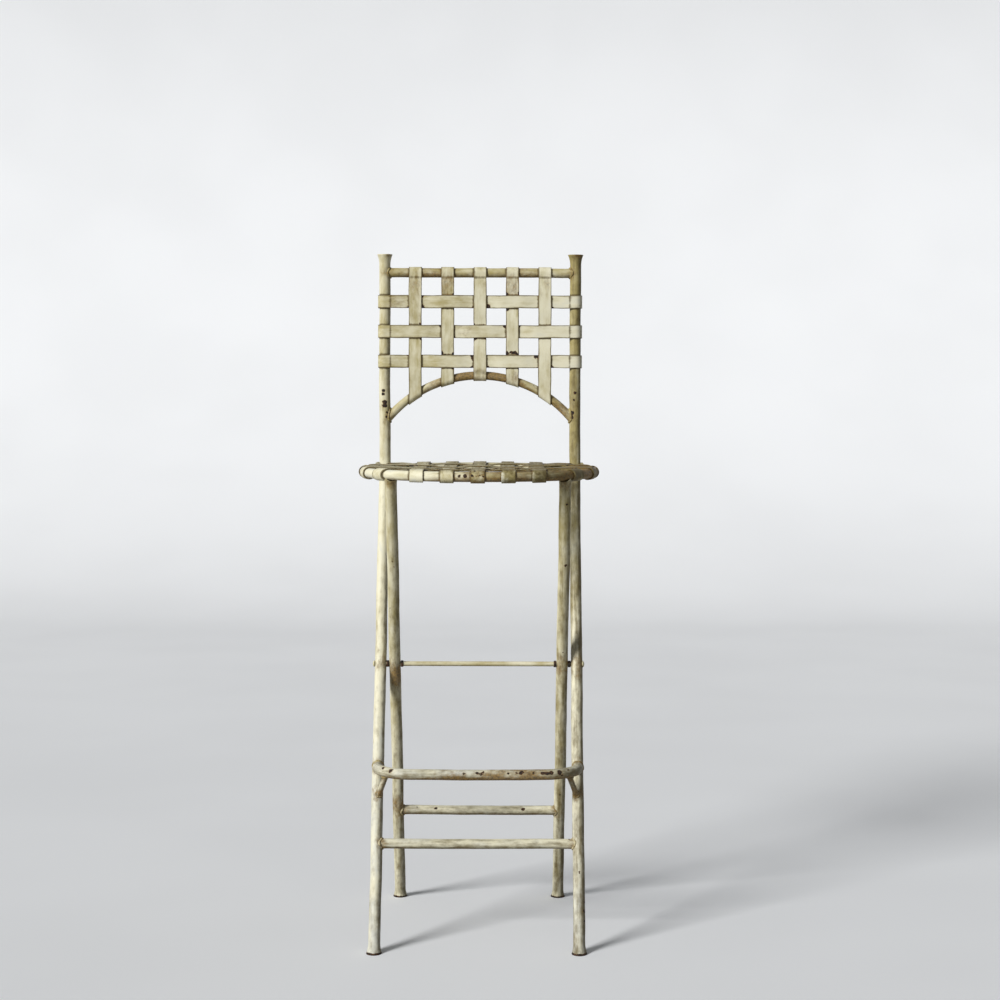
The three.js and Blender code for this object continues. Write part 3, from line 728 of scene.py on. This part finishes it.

# How worn each piece is: the axis along which that changes; how yellowed, how dirty and how stained it is
# at that axis's low and high ends; how much painted shade darkens its underside; how much darker its top is
WEAR = {
    "left_upright": (2, (-0.2, 0.6), (0.42, 0.06), (0.05, 0.05), 0.3, 0.0),
    # The right-hand legs are made dirtier and more yellowed than the left-hand ones: in part dirt, in part
    # painted shade away from the light at the left
    "right_upright": (2, (-0.15, 1.1), (0.6, 0.5), (0.05, 0.1), 0.3, 0.0),
    "left_rear_leg": (2, (0.3, 0.7), (0.45, -0.05), (0.15, 0.05), 0.3, 0.0),
    "right_rear_leg": (2, (0.3, 0.9), (0.52, 0.08), (0.15, 0.05), 0.3, 0.0),
    "rear_leg_frame_welds": (2, (0.6, 0.6), (0.5, 0.5), (0.3, 0.3), 0.3, 0.0),
    "back_frame_welds": (2, (0.5, 1.0), (0.45, 0.45), (0.3, 0.3), 0.3, 0.0),
    "top_rail": (0, (0.7, 0.7), (0.12, 0.12), (0.15, 0.15), 0.5, 0.0),
    "back_arch": (0, (0.6, 0.7), (0.08, 0.15), (0.1, 0.2), 0.5, 0.0),
    "footrest_hoop": (0, (-0.1, 0.1), (0.5, 0.6), (0.1, 0.25), 0.8, 0.0),
    "back_strap": (0, (0.7, 0.1), (0.02, -0.05), (0.05, 0.0), 0.1, 0.0),
    "seat_rim": (0, (0.0, 1.0), (-0.15, 0.6), (-0.1, 0.5), 0.7, 0.2),
    "seat_strap": (0, (0.4, 1.1), (-0.1, 0.65), (-0.1, 0.35), 0.15, 0.38),
    "pivot_rod": (0, (0.5, 0.5), (0.15, 0.15), (0.1, 0.1), 0.6, 0.0),
    "": (2, (0.1, 0.4), (0.52, 0.52), (0.05, 0.1), 0.6, 0.0),
}
WEAR_SPAN = ((-0.197, 0.197), (-0.197, 0.197), (0.0, 1.116))  # ends of each axis

# Painted shade on the faces that turn to the right or down, away from the light, by how far they turn
PAINTED_SIDE_SHADE = 0.4
PAINTED_SIDE_SHADE_START = 0.15
PAINTED_SIDE_SHADE_SPAN = 0.75

LAY_SHIFT = 0.37  # sets the paint of one piece apart from that of the next

# Chips and stains, each as a place in millimetres, a radius in millimetres and a strength
CHIPS = {
    "left_upright": [
        ((-164, 126, 885), 4.5, 1.0),
        ((-164, 126, 879), 4, 1.0),
        ((-162, 126, 866), 5, 1.05),
        ((-162, 126, 859), 5, 1.05),
        ((-158, 127, 848), 4.5, 0.8),
        ((-158, 127, 841), 4.5, 0.8),
        ((-160, -157, 57), 4, 0.7),
        ((-157, -165, 40), 4, 0.6),
    ],
    "right_upright": [
        ((162, 126, 882), 3.5, 0.8),
        ((159, 126, 870), 4, 0.8),
        ((157, 127, 848), 5, 1.0),
        ((157, 127, 841), 5, 1.0),
        ((162, 44, 552), 3, 0.6),
        ((163, 23, 500), 3, 0.6),
        ((170, -146, 75), 5, 0.8),
        ((170, -151, 62), 5, 0.8),
        ((169, -157, 48), 4, 0.7),
    ],
    "footrest_hoop": [
        ((-150, -116, 284), 5, 0.75),
        ((-138, -128, 281), 6, 0.75),
        ((-22, -141, 281), 5, 0.65),
        ((0, -141, 281), 5, 0.7),
        ((8, -141, 281), 6, 0.75),
        ((49, -141, 281), 4, 0.7),
        ((62, -141, 282), 5, 0.7),
        ((70, -141, 282), 6, 0.75),
        ((89, -141, 281), 6, 0.75),
        ((104, -141, 282), 4.5, 0.9),
        ((111, -140, 281), 4.5, 0.9),
        ((118, -138, 281), 4.5, 0.9),
        ((130, -133, 281), 6, 0.95),
        ((133, -131, 276), 5, 0.8),
        ((144, -122, 281), 5, 0.9),
    ],
    "rear_stretcher": [((-73, 106, 172), 5, 0.75), ((76, 106, 170), 5, 0.75)],
    "left_rear_leg": [((-137, -76, 612), 3.5, 0.8), ((-136, -74, 603), 3, 0.6), ((-131, 14, 424), 7, 0.55)],
    "right_rear_leg": [((141, -115, 707), 4, 0.8), ((141, -74, 605), 4, 0.8)],
    "back_strap_upright_4": [((46, 124, 949), 5, 1.0), ((53, 124, 950), 5, 1.0), ((60, 124, 949), 5, 1.0)],
    "back_strap_cross_2": [((68, 120, 990), 5, 1.0), ((67, 120, 983), 5, 1.0), ((-66, 120, 984), 5, 0.8)],
    "back_strap_cross_3": [((94, 120, 941), 6, 1.0), ((122, 120, 927), 6, 1.0), ((-97, 120, 934), 5, 0.8)],
    "seat_strap_lengthwise_3": [
        ((-8, -196, 755), 4, 0.9),
        ((3, -196, 756), 4, 0.9),
        ((9, -196, 754), 3, 0.9),
    ],
    "seat_rim": [((-20, -194, 755), 5, 0.9), ((-28, -193, 755), 4, 0.85), ((-38, -192, 754), 4, 0.8)],
}
STAINS = {
    "left_upright": [((-162, 0, 435), 26, 0.45), ((-162, 125, 850), 26, 0.3), ((-150, 122, 1116), 9, 1.0)],
    "right_upright": [((162, 0, 435), 28, 0.5), ((162, 125, 850), 26, 0.4), ((168, 118, 1116), 10, 1.0)],
    "left_rear_leg": [((-136, 4, 416), 24, 0.85), ((-136, -125, 740), 18, 0.5), ((-136, 105, 180), 24, 0.6)],
    "right_rear_leg": [((138, -125, 740), 18, 0.45), ((138, 5, 435), 24, 0.5)],
    "back_arch": [((0, 128, 911), 64, 1.8), ((-70, 128, 900), 26, 0.5), ((140, 128, 860), 26, 0.6)],
    "top_rail": [((-90, 128, 1085), 60, 0.5), ((70, 128, 1085), 50, 0.4)],
    "footrest_hoop": [((30, -141, 273), 35, 0.5), ((84, -141, 273), 32, 0.6), ((-40, -141, 273), 30, 0.4)],
    "left_footrest_brace": [((-158, -90, 235), 20, 0.6)],
    "right_footrest_brace": [((158, -90, 235), 20, 0.7)],
    "back_strap_upright_1": [((-110, 125, 1066), 30, 0.5), ((-104, 125, 1020), 24, 0.35)],
    "back_strap_upright_2": [((-55, 125, 1070), 26, 0.6), ((-60, 125, 1050), 18, 0.5)],
    "back_strap_upright_3": [((8, 125, 1060), 24, 0.35), ((0, 122, 912), 22, 0.5)],
    "back_strap_upright_4": [((55, 125, 1066), 32, 0.6), ((58, 122, 906), 18, 0.6)],
    "back_strap_upright_5": [((116, 125, 1066), 30, 0.4)],
    "back_strap_cross_1": [((-142, 125, 1036), 22, 0.5)],
    "back_strap_cross_2": [((-20, 125, 986), 26, 0.4), ((-80, 125, 986), 20, 0.3)],
    "seat_strap_lengthwise_3": [((0, -190, 750), 40, 0.4)],
    "seat_rim": [((20, -187, 746), 70, 0.5), ((170, -60, 748), 80, 0.6)],
}
# Places on the seat's straps where the dirt is rubbed off, given in the same way
RUBBED = {
    "seat_strap_lengthwise_1": [((-96, -169, 750), 26, 0.5)],
    "seat_strap_lengthwise_4": [
        ((37, -194, 760), 4, 1.4),
        ((37, -196, 753), 4, 1.4),
        ((37, -195, 746), 4, 1.4),
    ],
    "seat_strap_lengthwise_5": [
        ((85, -179, 759), 4, 1.4),
        ((85, -181, 753), 4, 1.4),
        ((85, -180, 746), 4, 1.4),
    ],
}
WELD_STAIN_REACH = 15 * MM
WELD_STAIN = 0.85
FLOOR_WEAR_HEIGHT = 4 * MM


def spot_field(verts, spots, falloff):
    """How strong a set of spots is at each point."""
    field = np.zeros(len(verts))
    for centre, radius, strength in spots:
        distance = np.linalg.norm(verts - np.array(centre) * MM, axis=1) / (radius * MM)
        field = np.maximum(field, strength * falloff(distance))
    return field


def beside_straps(piece, straps):
    """Dirt with painted shade on a tube next to the edges of the straps that turn round it, as [axis, places
    along it] sets.
    """
    verts = np.array([vertex.co for vertex in piece.data.vertices])
    gaps = [np.abs(np.abs(verts[:, axis] - at) - STRAP_WIDTH / 2) for axis, places in straps for at in places]
    return CROSSING_DIRT_AND_SHADE * soft_spot(np.min(gaps, axis=0) / CROSSING_DIRT_AND_SHADE_REACH)


def mark(piece, node, along, dirt, chip):
    """Writes how yellowed, how dirty, how stained and how chipped each point of a piece is, with painted
    shade added to the dirt and the stain, and how its paint runs.
    """
    mesh = piece.data
    count = len(mesh.vertices)
    verts = np.zeros(count * 3)
    normals = np.zeros(count * 3)
    mesh.vertices.foreach_get("co", verts)
    mesh.vertices.foreach_get("normal", normals)
    verts = verts.reshape(-1, 3)
    normals = normals.reshape(-1, 3)
    up = np.clip(normals[:, 2], 0, 1)
    down = np.clip(-normals[:, 2], 0, 1)
    wear = next(row for start, row in WEAR.items() if node.startswith(start))
    axis, ages, dirts, stains, underside_shade, topside = wear
    low, high = WEAR_SPAN[axis]
    share = np.clip((verts[:, axis] - low) / (high - low), 0, 1)
    age = ages[0] + (ages[1] - ages[0]) * share
    # Painted shade: faces turned to the right or down, away from the light, darkened in the dirt colour
    facing_from_light = np.maximum(normals[:, 0], -normals[:, 2])
    side_shade = np.clip((facing_from_light - PAINTED_SIDE_SHADE_START) / PAINTED_SIDE_SHADE_SPAN, 0, 1)
    dirt_and_side_shade = dirts[0] + (dirts[1] - dirts[0]) * share + PAINTED_SIDE_SHADE * side_shade + topside * up
    dirt = np.maximum(dirt, dirt_and_side_shade)
    # Painted shade under the piece, in the stain colours, on the faces that turn down
    stain = stains[0] + (stains[1] - stains[0]) * share + underside_shade * down
    stain = stain + spot_field(verts, STAINS.get(node, []), soft_spot)
    for place in weld_places:
        distance = np.linalg.norm(verts - place, axis=1) / WELD_STAIN_REACH
        stain = np.maximum(stain, WELD_STAIN * soft_spot(distance))
    rubbed = spot_field(verts, RUBBED.get(node, []), soft_spot)
    age = age - rubbed
    dirt = dirt - rubbed
    stain = stain - rubbed
    chip = np.maximum(chip, spot_field(verts, CHIPS.get(node, []), hard_spot))
    chip = np.maximum(chip, np.clip(2 - 2 * verts[:, 2] / FLOOR_WEAR_HEIGHT, 0, 1))
    for name, field in zip(WEAR_FIELDS, (age, dirt, stain, chip)):
        layer = mesh.attributes.new(name, "FLOAT", "POINT")
        layer.data.foreach_set("value", np.broadcast_to(field, count).astype(np.float32))
    lay = mesh.attributes.new("lay", "FLOAT_VECTOR", "POINT")
    local = along.lay(verts) if isinstance(along, Path) else np.roll(verts, -along, axis=1)
    local = local + LAY_SHIFT * len(bpy.data.objects)
    lay.data.foreach_set("vector", local.astype(np.float32).reshape(-1))


def dress(node, shape, material, along=0, cutters=(), straps=(), dirt=0.0, chip=0.0):
    """Makes the dressed piece for a node. Its paint runs along a path, or along the axis of this number."""
    piece = new_object("painted_" + node, shape)
    for cutter in cutters:
        cut_away(piece, cutter)
    piece.data.materials.clear()
    piece.data.materials.append(material)
    piece.data.shade_smooth()
    if straps:
        dirt = beside_straps(piece, straps)
    mark(piece, node, along, dirt, chip)
    if node in frame["nodes"]:
        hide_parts(node)
        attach(piece, body_of[node])
    return piece


body_of = {node: body for body, nodes in record["behaviour"]["bodies"].items() for node in nodes}


# Uprights and rear legs
def upright_path(side):
    x = side * outer_x
    foot = mounts["left_front_foot"][1]
    bend_height = pivot[2] + (post_y - pivot[1]) / lean_slope
    corners = [(x, foot, 0), (x, post_y, bend_height), (x, post_y, post_top)]
    return Path(rounded(corners, POST_BEND_RADIUS), X_AXIS)


def rear_leg_path(side):
    x = side * inner_x
    foot = mounts["left_rear_foot"][1]
    top = box("left_rear_leg")[1][2]
    return Path([(x, foot, 0), (x, rear_leg_y(top), top)], X_AXIS)


def flared_stations(path, top_lip):
    stations = []
    for place in np.linspace(0, path.length, math.ceil(path.length / TUBE_STEP) + 1):
        near_foot = trumpet(place, LEG_RADIUS, FOOT_FLARE_RADIUS)
        near_top = trumpet(path.length - place, LEG_RADIUS, top_lip)
        stations.append((place, max(near_foot, near_top)))
    return stations


def upright_shape(side, seed):
    path = upright_path(side)
    stations = flared_stations(path, TOP_FLARE_RADIUS)
    lip = path.length - MOUTH_EASE
    stations[-1] = (lip, TOP_FLARE_RADIUS)
    stations += [
        (path.length, TOP_FLARE_RADIUS - MOUTH_WALL / 3),
        (path.length, TOP_FLARE_RADIUS - 2 * MOUTH_WALL / 3),
        (lip, TOP_FLARE_RADIUS - MOUTH_WALL),
        (path.length - MOUTH_DEPTH, LEG_RADIUS - MOUTH_WALL),
        (path.length - MOUTH_DEPTH, MOUTH_FLOOR_RADIUS),
    ]
    return tube(path, stations, seed=seed, foot=True)


def rim_shape(margin=0.0):
    """The seat rim, or a solid that is larger all round by a margin."""
    steps = math.ceil(2 * math.pi * seat_radius / TUBE_STEP)
    turn = circle(ROD_SIDES)
    rows = []
    for angle in circle(steps):
        out = np.array([math.cos(angle), math.sin(angle), 0])
        ring = np.cos(turn)[:, None] * out + np.sin(turn)[:, None] * Z_AXIS
        rows.append(out * seat_radius + Z_AXIS * seat_height + (rim_tube + margin) * ring)
    return np.concatenate(rows), grid_faces(steps, ROD_SIDES, True)


def post_y_at(_):
    return post_y


# Bars between the legs: node, body, half length, Y by height, and the run of the tubes that they meet
BARS = (
    ("top_rail", "back_frame", outer_x, post_y_at, Z_AXIS),
    ("front_stretcher", "back_frame", outer_x, upright_y, lean),
    ("rear_stretcher", "rear_leg_frame", inner_x, rear_leg_y, lean * np.array([1, -1, 1])),
)
beads = {"back_frame": [], "rear_leg_frame": []}
for index, (node, body, half, y_at, post_run) in enumerate(BARS):
    z = middle(node)[2]
    start = np.array([0, y_at(z), z])
    for name, side in SIDES:
        end = start + side * half * X_AXIS
        seed = SEED["bar_weld"] + WELD_SEED_STEP * index + side
        bead = weld_bead(start, side * X_AXIS, half_height(node), end, post_run, LEG_RADIUS, seed)
        beads[body].append(bead)

# Footrest hoop and braces
hoop_front = box("footrest_hoop")[0][1] + hoop_tube
hoop_back = upright_y(hoop_height)
hoop_corners = [
    (-outer_x, hoop_back, hoop_height),
    (-outer_x, hoop_front, hoop_height),
    (outer_x, hoop_front, hoop_height),
    (outer_x, hoop_back, hoop_height),
]
hoop_path = Path(rounded(hoop_corners, HOOP_CORNER_RADIUS), Z_AXIS)
corner_inset = HOOP_CORNER_RADIUS * (1 - math.cos(BRACE_CORNER_ANGLE))
brace_ends = {}
for name, side in SIDES:
    top = np.array([side * (outer_x - corner_inset), hoop_front + corner_inset, hoop_height])
    foot = np.array([side * outer_x, upright_y(BRACE_FOOT_HEIGHT), BRACE_FOOT_HEIGHT])
    brace_ends[name] = (foot, top)
    hoop_end = np.array([side * outer_x, hoop_back, hoop_height])
    start = hoop_end - HOOP_STUB * Y_AXIS
    corner_run = np.array([side, 1.0, 0.0])
    beads["back_frame"] += [
        weld_bead(start, Y_AXIS, hoop_tube, hoop_end, lean, LEG_RADIUS, SEED["hoop_weld"] + side),
        weld_bead(top, foot - top, BRACE_RADIUS, foot, lean, LEG_RADIUS, SEED["brace_foot_weld"] + side),
        weld_bead(foot, top - foot, BRACE_RADIUS, top, corner_run, hoop_tube, SEED["brace_top_weld"] + side),
    ]

# Back arch
arch_low, arch_high = box("back_arch")
arch_tube = (arch_high[1] - arch_low[1]) / 2
arch_centre = arch_high[2] - arch_tube - ARCH_RADIUS
arch_half_angle = math.asin(outer_x / ARCH_RADIUS)
arch_angles = np.linspace(-arch_half_angle, arch_half_angle, ARCH_STEPS)
arch_heights = arch_centre + ARCH_RADIUS * np.cos(arch_angles)
arch_path = Path(points(ARCH_RADIUS * np.sin(arch_angles), post_y, arch_heights), Y_AXIS)
for name, side in SIDES:
    end = np.array([side * outer_x, post_y, arch_centre + ARCH_RADIUS * math.cos(arch_half_angle)])
    run = np.array([side * math.cos(arch_half_angle), 0, -math.sin(arch_half_angle)])
    start = end - ARCH_STUB * run
    bead = weld_bead(start, run, arch_tube, end, Z_AXIS, LEG_RADIUS, SEED["arch_weld"] + side)
    beads["back_frame"].append(bead)


# Places of the straps
def numbered(prefix, axis):
    """The middles of a set of numbered nodes along an axis."""
    count = sum(node.startswith(prefix) for node in frame["nodes"])
    return [middle(prefix + str(i + 1))[axis] for i in range(count)]


back_uprights = numbered("back_strap_upright_", 0)
back_crosses = numbered("back_strap_cross_", 2)
seat_lengthwise = numbered("seat_strap_lengthwise_", 0)
seat_crosswise = numbered("seat_strap_crosswise_", 1)

# The seat rim's axis, from its back and round to it again
rim_angles = np.linspace(math.pi / 2, 5 * math.pi / 2, RIM_STEPS)
rim_line = points(seat_radius * np.cos(rim_angles), seat_radius * np.sin(rim_angles), seat_height)
rim_path = Path(rim_line, Z_AXIS)

# Tubes
rim_clearance = STRAP_GAP + STRAP_THICKNESS + SADDLE_GAP
pivot_hole = drill(pivot[1], pivot[2], PIVOT_HOLE_RADIUS)
pin_hole = drill(seat_pivot[1], seat_pivot[2], PIVOT_HOLE_RADIUS)
for index, (name, side) in enumerate(SIDES):
    post = upright_shape(side, SEED["upright"] + LEG_SEED_STEP * index)
    dress(name + "_upright", post, paint, upright_path(side), straps=[(2, back_crosses)])
    leg_path = rear_leg_path(side)
    leg_seed = SEED["rear_leg"] + LEG_SEED_STEP * index
    leg = tube(leg_path, flared_stations(leg_path, SADDLE_FLARE_RADIUS), seed=leg_seed, foot=True)
    dress(name + "_rear_leg", leg, paint, leg_path, (pivot_hole, rim_shape(rim_clearance)))
    brace_path = straight(*brace_ends[name])
    brace_line = even_stations(brace_path.length, BRACE_RADIUS)
    brace = tube(brace_path, brace_line, ROD_SIDES, seed=SEED["brace"] + index, wander=0)
    dress(name + "_footrest_brace", brace, paint, brace_path)
for index, (node, _, half, y_at, _) in enumerate(BARS):
    z = middle(node)[2]
    seed = SEED["bar"] + BAR_SEED_STEP * index
    shape = bar((-half, y_at(z), z), (half, y_at(z), z), half_height(node), seed)
    dress(node, shape, paint, straps=[(0, back_uprights)] if node == "top_rail" else ())
hoop = tube(hoop_path, even_stations(hoop_path.length, hoop_tube), seed=SEED["hoop"])
dress("footrest_hoop", hoop, paint, hoop_path)
arch_line = even_stations(arch_path.length, arch_tube)
arch = tube(arch_path, arch_line, ROD_SIDES, SEED["arch"], ARCH_WANDER)
dress("back_arch", arch, paint, arch_path, straps=[(0, back_uprights)])
rim_straps = [(0, seat_lengthwise), (1, seat_crosswise)]
dress("seat_rim", rim_shape(), paint, rim_path, (pin_hole,), rim_straps)
for body, rings in beads.items():
    welds = dress(body + "_welds", joined(rings), paint)
    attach(welds, body)


# Pivot rod, rings, lugs and pins
RIVET_PROFILE = ((0.0, 1.0), (0.25, 0.99), (0.5, 0.9), (0.75, 0.68), (0.93, 0.35), (1.0, 0.05))


def turned(profile, centre, closed=False):
    """A piece turned about an X axis through a centre, from [X, radius] points."""
    angle = circle(ROD_SIDES)
    rows = [points(x, centre[1] + r * np.cos(angle), centre[2] + r * np.sin(angle)) for x, r in profile]
    return np.concatenate(rows), grid_faces(len(rows), ROD_SIDES, closed)


def rivet_head(start, side, radius):
    """A rivet head's profile, from shares of height and radius."""
    return [(start + side * RIVET_HEAD_HEIGHT * along, radius * out) for along, out in RIVET_PROFILE]


def rod_shape(node):
    seat = box(node)[1][0] - RIVET_HEAD_HEIGHT
    head_radius = half_height(node)
    left = rivet_head(-seat, -1, head_radius)[::-1]
    right = rivet_head(seat, 1, head_radius)
    shank = [(x, PIVOT_RADIUS) for x in np.linspace(-seat, seat, SHANK_STEPS)]
    return turned(left + shank + right, pivot)


def ring_shape(node):
    low, high = box(node)
    radius = half_height(node)
    profile = [
        (low[0], PIVOT_HOLE_RADIUS),
        (low[0], radius - RING_EASE),
        (low[0] + RING_EASE, radius),
        (high[0] - RING_EASE, radius),
        (high[0], radius - RING_EASE),
        (high[0], PIVOT_HOLE_RADIUS),
    ]
    return turned(profile, pivot, closed=True)


dress("pivot_rod", rod_shape("pivot_rod"), paint)
for name, _ in SIDES:
    for ring in (name + "_pivot_spacer", name + "_pivot_collar"):
        dress(ring, ring_shape(ring), bare_iron)
for node, piece in frame["nodes"].items():
    if node.endswith(("_seat_lug", "_seat_pin")):
        piece.data.materials.clear()
        piece.data.materials.append(lug_paint if node.endswith("lug") else bare_iron)


# Woven straps
def level(base, own, other, sign):
    """Height of a strap where it crosses another, over and under by turns."""
    rise = (STRAP_THICKNESS + CROSSING_GAP) / 2
    return base + (-sign if (own + other) % 2 else sign) * rise


def no_dip(_):
    return 0.0


rail_height = middle("top_rail")[2]
rail_tube = half_height("top_rail")
seat_weave = rim_tube + STRAP_GAP + STRAP_THICKNESS / 2


def back_upright_strap(i, x):
    crossings = [(z, level(BACK_WEAVE_OFFSET, i, j, 1)) for j, z in enumerate(back_crosses)][::-1]

    def line(across):
        arch_x = x - across
        slant = math.sqrt(1 - (arch_x / ARCH_RADIUS) ** 2)
        arch_end = (arch_centre + ARCH_RADIUS * slant, arch_tube, slant)
        return strap_line(arch_end, (rail_height, rail_tube, 1), crossings, no_dip)

    def place(along, across, height):
        return points(x - across, post_y - height, along)

    laps = (rail_height - rail_tube,)
    seed = SEED["back_upright"] + STRAP_SEED_STEP * i
    return strap(line, place, crossings, BACK_WEAVE_OFFSET, laps, seed)


def back_cross_strap(j, z):
    crossings = [(x, level(BACK_WEAVE_OFFSET, i, j, -1)) for i, x in enumerate(back_uprights)]

    def line(across):
        return strap_line((-outer_x, LEG_RADIUS, 1), (outer_x, LEG_RADIUS, 1), crossings, no_dip)

    def place(along, across, height):
        return points(along, post_y - height, z + across)

    laps = (LEG_RADIUS - outer_x, outer_x - LEG_RADIUS)
    seed = SEED["back_cross"] + STRAP_SEED_STEP * j
    return strap(line, place, crossings, BACK_WEAVE_OFFSET, laps, seed)


def seat_line(offset, crossings):
    at = math.sqrt(seat_radius**2 - offset**2)
    ends = [(side * at, rim_tube, at / seat_radius) for side in (-1, 1)]

    def dip(along):
        return SEAT_DIP * max(0.0, 1 - (along**2 + offset**2) / seat_radius**2)

    return strap_line(*ends, crossings, dip)


def seat_lengthwise_strap(i, x):
    crossings = [(y, level(seat_weave, i, j, 1)) for j, y in enumerate(seat_crosswise)]

    def line(across):
        return seat_line(x - across, crossings)

    def place(along, across, height):
        return points(x - across, along, seat_height + height)

    seed = SEED["seat_lengthwise"] + STRAP_SEED_STEP * i
    return strap(line, place, crossings, seat_weave, (), seed)


def seat_crosswise_strap(j, y):
    crossings = [(x, level(seat_weave, i, j, -1)) for i, x in enumerate(seat_lengthwise)]

    def line(across):
        return seat_line(y + across, crossings)

    def place(along, across, height):
        return points(along, y + across, seat_height + height)

    seed = SEED["seat_crosswise"] + STRAP_SEED_STEP * j
    return strap(line, place, crossings, seat_weave, (), seed)


# Sets of straps: name, places, function, and the axis along which the paint runs
STRAP_SETS = (
    ("back_strap_upright_", back_uprights, back_upright_strap, 2),
    ("back_strap_cross_", back_crosses, back_cross_strap, 0),
    ("seat_strap_lengthwise_", seat_lengthwise, seat_lengthwise_strap, 1),
    ("seat_strap_crosswise_", seat_crosswise, seat_crosswise_strap, 0),
)
for prefix, places, make, along in STRAP_SETS:
    for index, at in enumerate(places):
        shape, dirt, chip = make(index, at)
        dress(prefix + str(index + 1), shape, paint, along, dirt=dirt, chip=chip)


# Floor and backdrop, one sheet that bends up behind the chair
STAGE_HALF_WIDTH = 40.0
STAGE_FRONT = -40.0
STAGE_WALL = 7.0
STAGE_BEND = 3.0
STAGE_HEIGHT = 9.0
STAGE_BEND_STEPS = 48
STAGE_COLOURS = (colour(240, 241, 242), colour(244, 245, 246))
STAGE_UNSEEN_COLOUR = colour(150, 150, 150)  # for the rays that light the chair


def seen_rays(tree):
    """1 for rays from the camera, mirrors and glass, and 0 for those that light things."""
    rays = tree.nodes.new("ShaderNodeLightPath").outputs
    seen = rays["Is Camera Ray"]
    for ray in ("Is Glossy Ray", "Is Transmission Ray"):
        either = tree.nodes.new("ShaderNodeMath")
        either.operation = "MAXIMUM"
        tree.links.new(seen, either.inputs[0])
        tree.links.new(rays[ray], either.inputs[1])
        seen = either.outputs[0]
    return seen


def backdrop():
    """Floor and wall in one sweep, which throw less light than they show."""
    turn = np.linspace(0, math.pi / 2, STAGE_BEND_STEPS)
    profile = [(STAGE_FRONT, 0.0)]
    profile += [(STAGE_WALL - STAGE_BEND * (1 - math.sin(a)), STAGE_BEND * (1 - math.cos(a))) for a in turn]
    profile.append((STAGE_WALL, STAGE_HEIGHT))
    verts = [(side * STAGE_HALF_WIDTH, y, z) for y, z in profile for side in (-1, 1)]
    faces = [(2 * i, 2 * i + 1, 2 * i + 3, 2 * i + 2) for i in range(len(profile) - 1)]
    mesh = bpy.data.meshes.new("backdrop")
    mesh.from_pydata(verts, [], faces)
    mesh.shade_smooth()
    stage = bpy.data.objects.new("backdrop", mesh)
    bpy.context.scene.collection.objects.link(stage)
    t = Tree("pale_backdrop")
    pale = t.mix(t.ramp(t.noise(scale=1.2, detail=2), 0.3, 0.7), *STAGE_COLOURS)
    seen = seen_rays(t.material.node_tree)
    t.link(t.mix(seen, STAGE_UNSEEN_COLOUR, pale), t.shader.inputs["Base Color"])
    t.shader.inputs["Roughness"].default_value = 0.9
    mesh.materials.append(t.material)
    stage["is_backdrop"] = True


backdrop()

# Camera at the photograph's place: its place, tilt, roll, and focal length in pixels of a 1000-pixel picture
CAMERA_PLACE = (0.0347, -3.256, 0.896)
CAMERA_TILT = math.radians(3.33)
CAMERA_ROLL = math.radians(0.16)
FOCAL_PIXELS = 1985.5
PICTURE_PIXELS = 1000
SENSOR_WIDTH = 36
camera = bpy.data.cameras.new("camera")
camera.sensor_width = SENSOR_WIDTH
camera.lens = SENSOR_WIDTH * FOCAL_PIXELS / PICTURE_PIXELS
viewer = bpy.data.objects.new("camera", camera)
viewer.location = CAMERA_PLACE
aim = Matrix.Rotation(math.pi / 2 - CAMERA_TILT, 3, "X") @ Matrix.Rotation(CAMERA_ROLL, 3, "Z")
viewer.rotation_euler = aim.to_euler()
bpy.context.scene.collection.objects.link(viewer)
bpy.context.scene.camera = viewer

# Soft light from the front left, as even over the floor as over the chair, and a dim sky that looks pale
SUN_PLACE = (-2.6, -2.4, 1.8)
SUN_WIDTH = math.radians(19)
SUN_STRENGTH = 3.4
SKY_COLOUR = (0.9, 0.95, 1.0, 1.0)
SKY_STRENGTH = 0.15
SKY_SEEN_STRENGTH = 0.72
lamp = bpy.data.lights.new("key", "SUN")
lamp.angle = SUN_WIDTH
lamp.energy = SUN_STRENGTH
light = bpy.data.objects.new("key", lamp)
light.rotation_euler = Vector(SUN_PLACE).to_track_quat("Z", "Y").to_euler()
bpy.context.scene.collection.objects.link(light)
world = bpy.data.worlds.new("soft_world")
world.use_nodes = True
sky_nodes = world.node_tree.nodes
sky = sky_nodes["Background"]
sky.inputs["Color"].default_value = SKY_COLOUR
strength = sky_nodes.new("ShaderNodeMapRange")
strength.inputs["To Min"].default_value = SKY_STRENGTH
strength.inputs["To Max"].default_value = SKY_SEEN_STRENGTH
world.node_tree.links.new(seen_rays(world.node_tree), strength.inputs["Value"])
world.node_tree.links.new(strength.outputs["Result"], sky.inputs["Strength"])
bpy.context.scene.world = world
bpy.context.scene.view_settings.view_transform = "Standard"

boxes = {"cad": cad_box, "visual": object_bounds()}
{name: [list(corner) for corner in corners] for name, corners in boxes.items()}
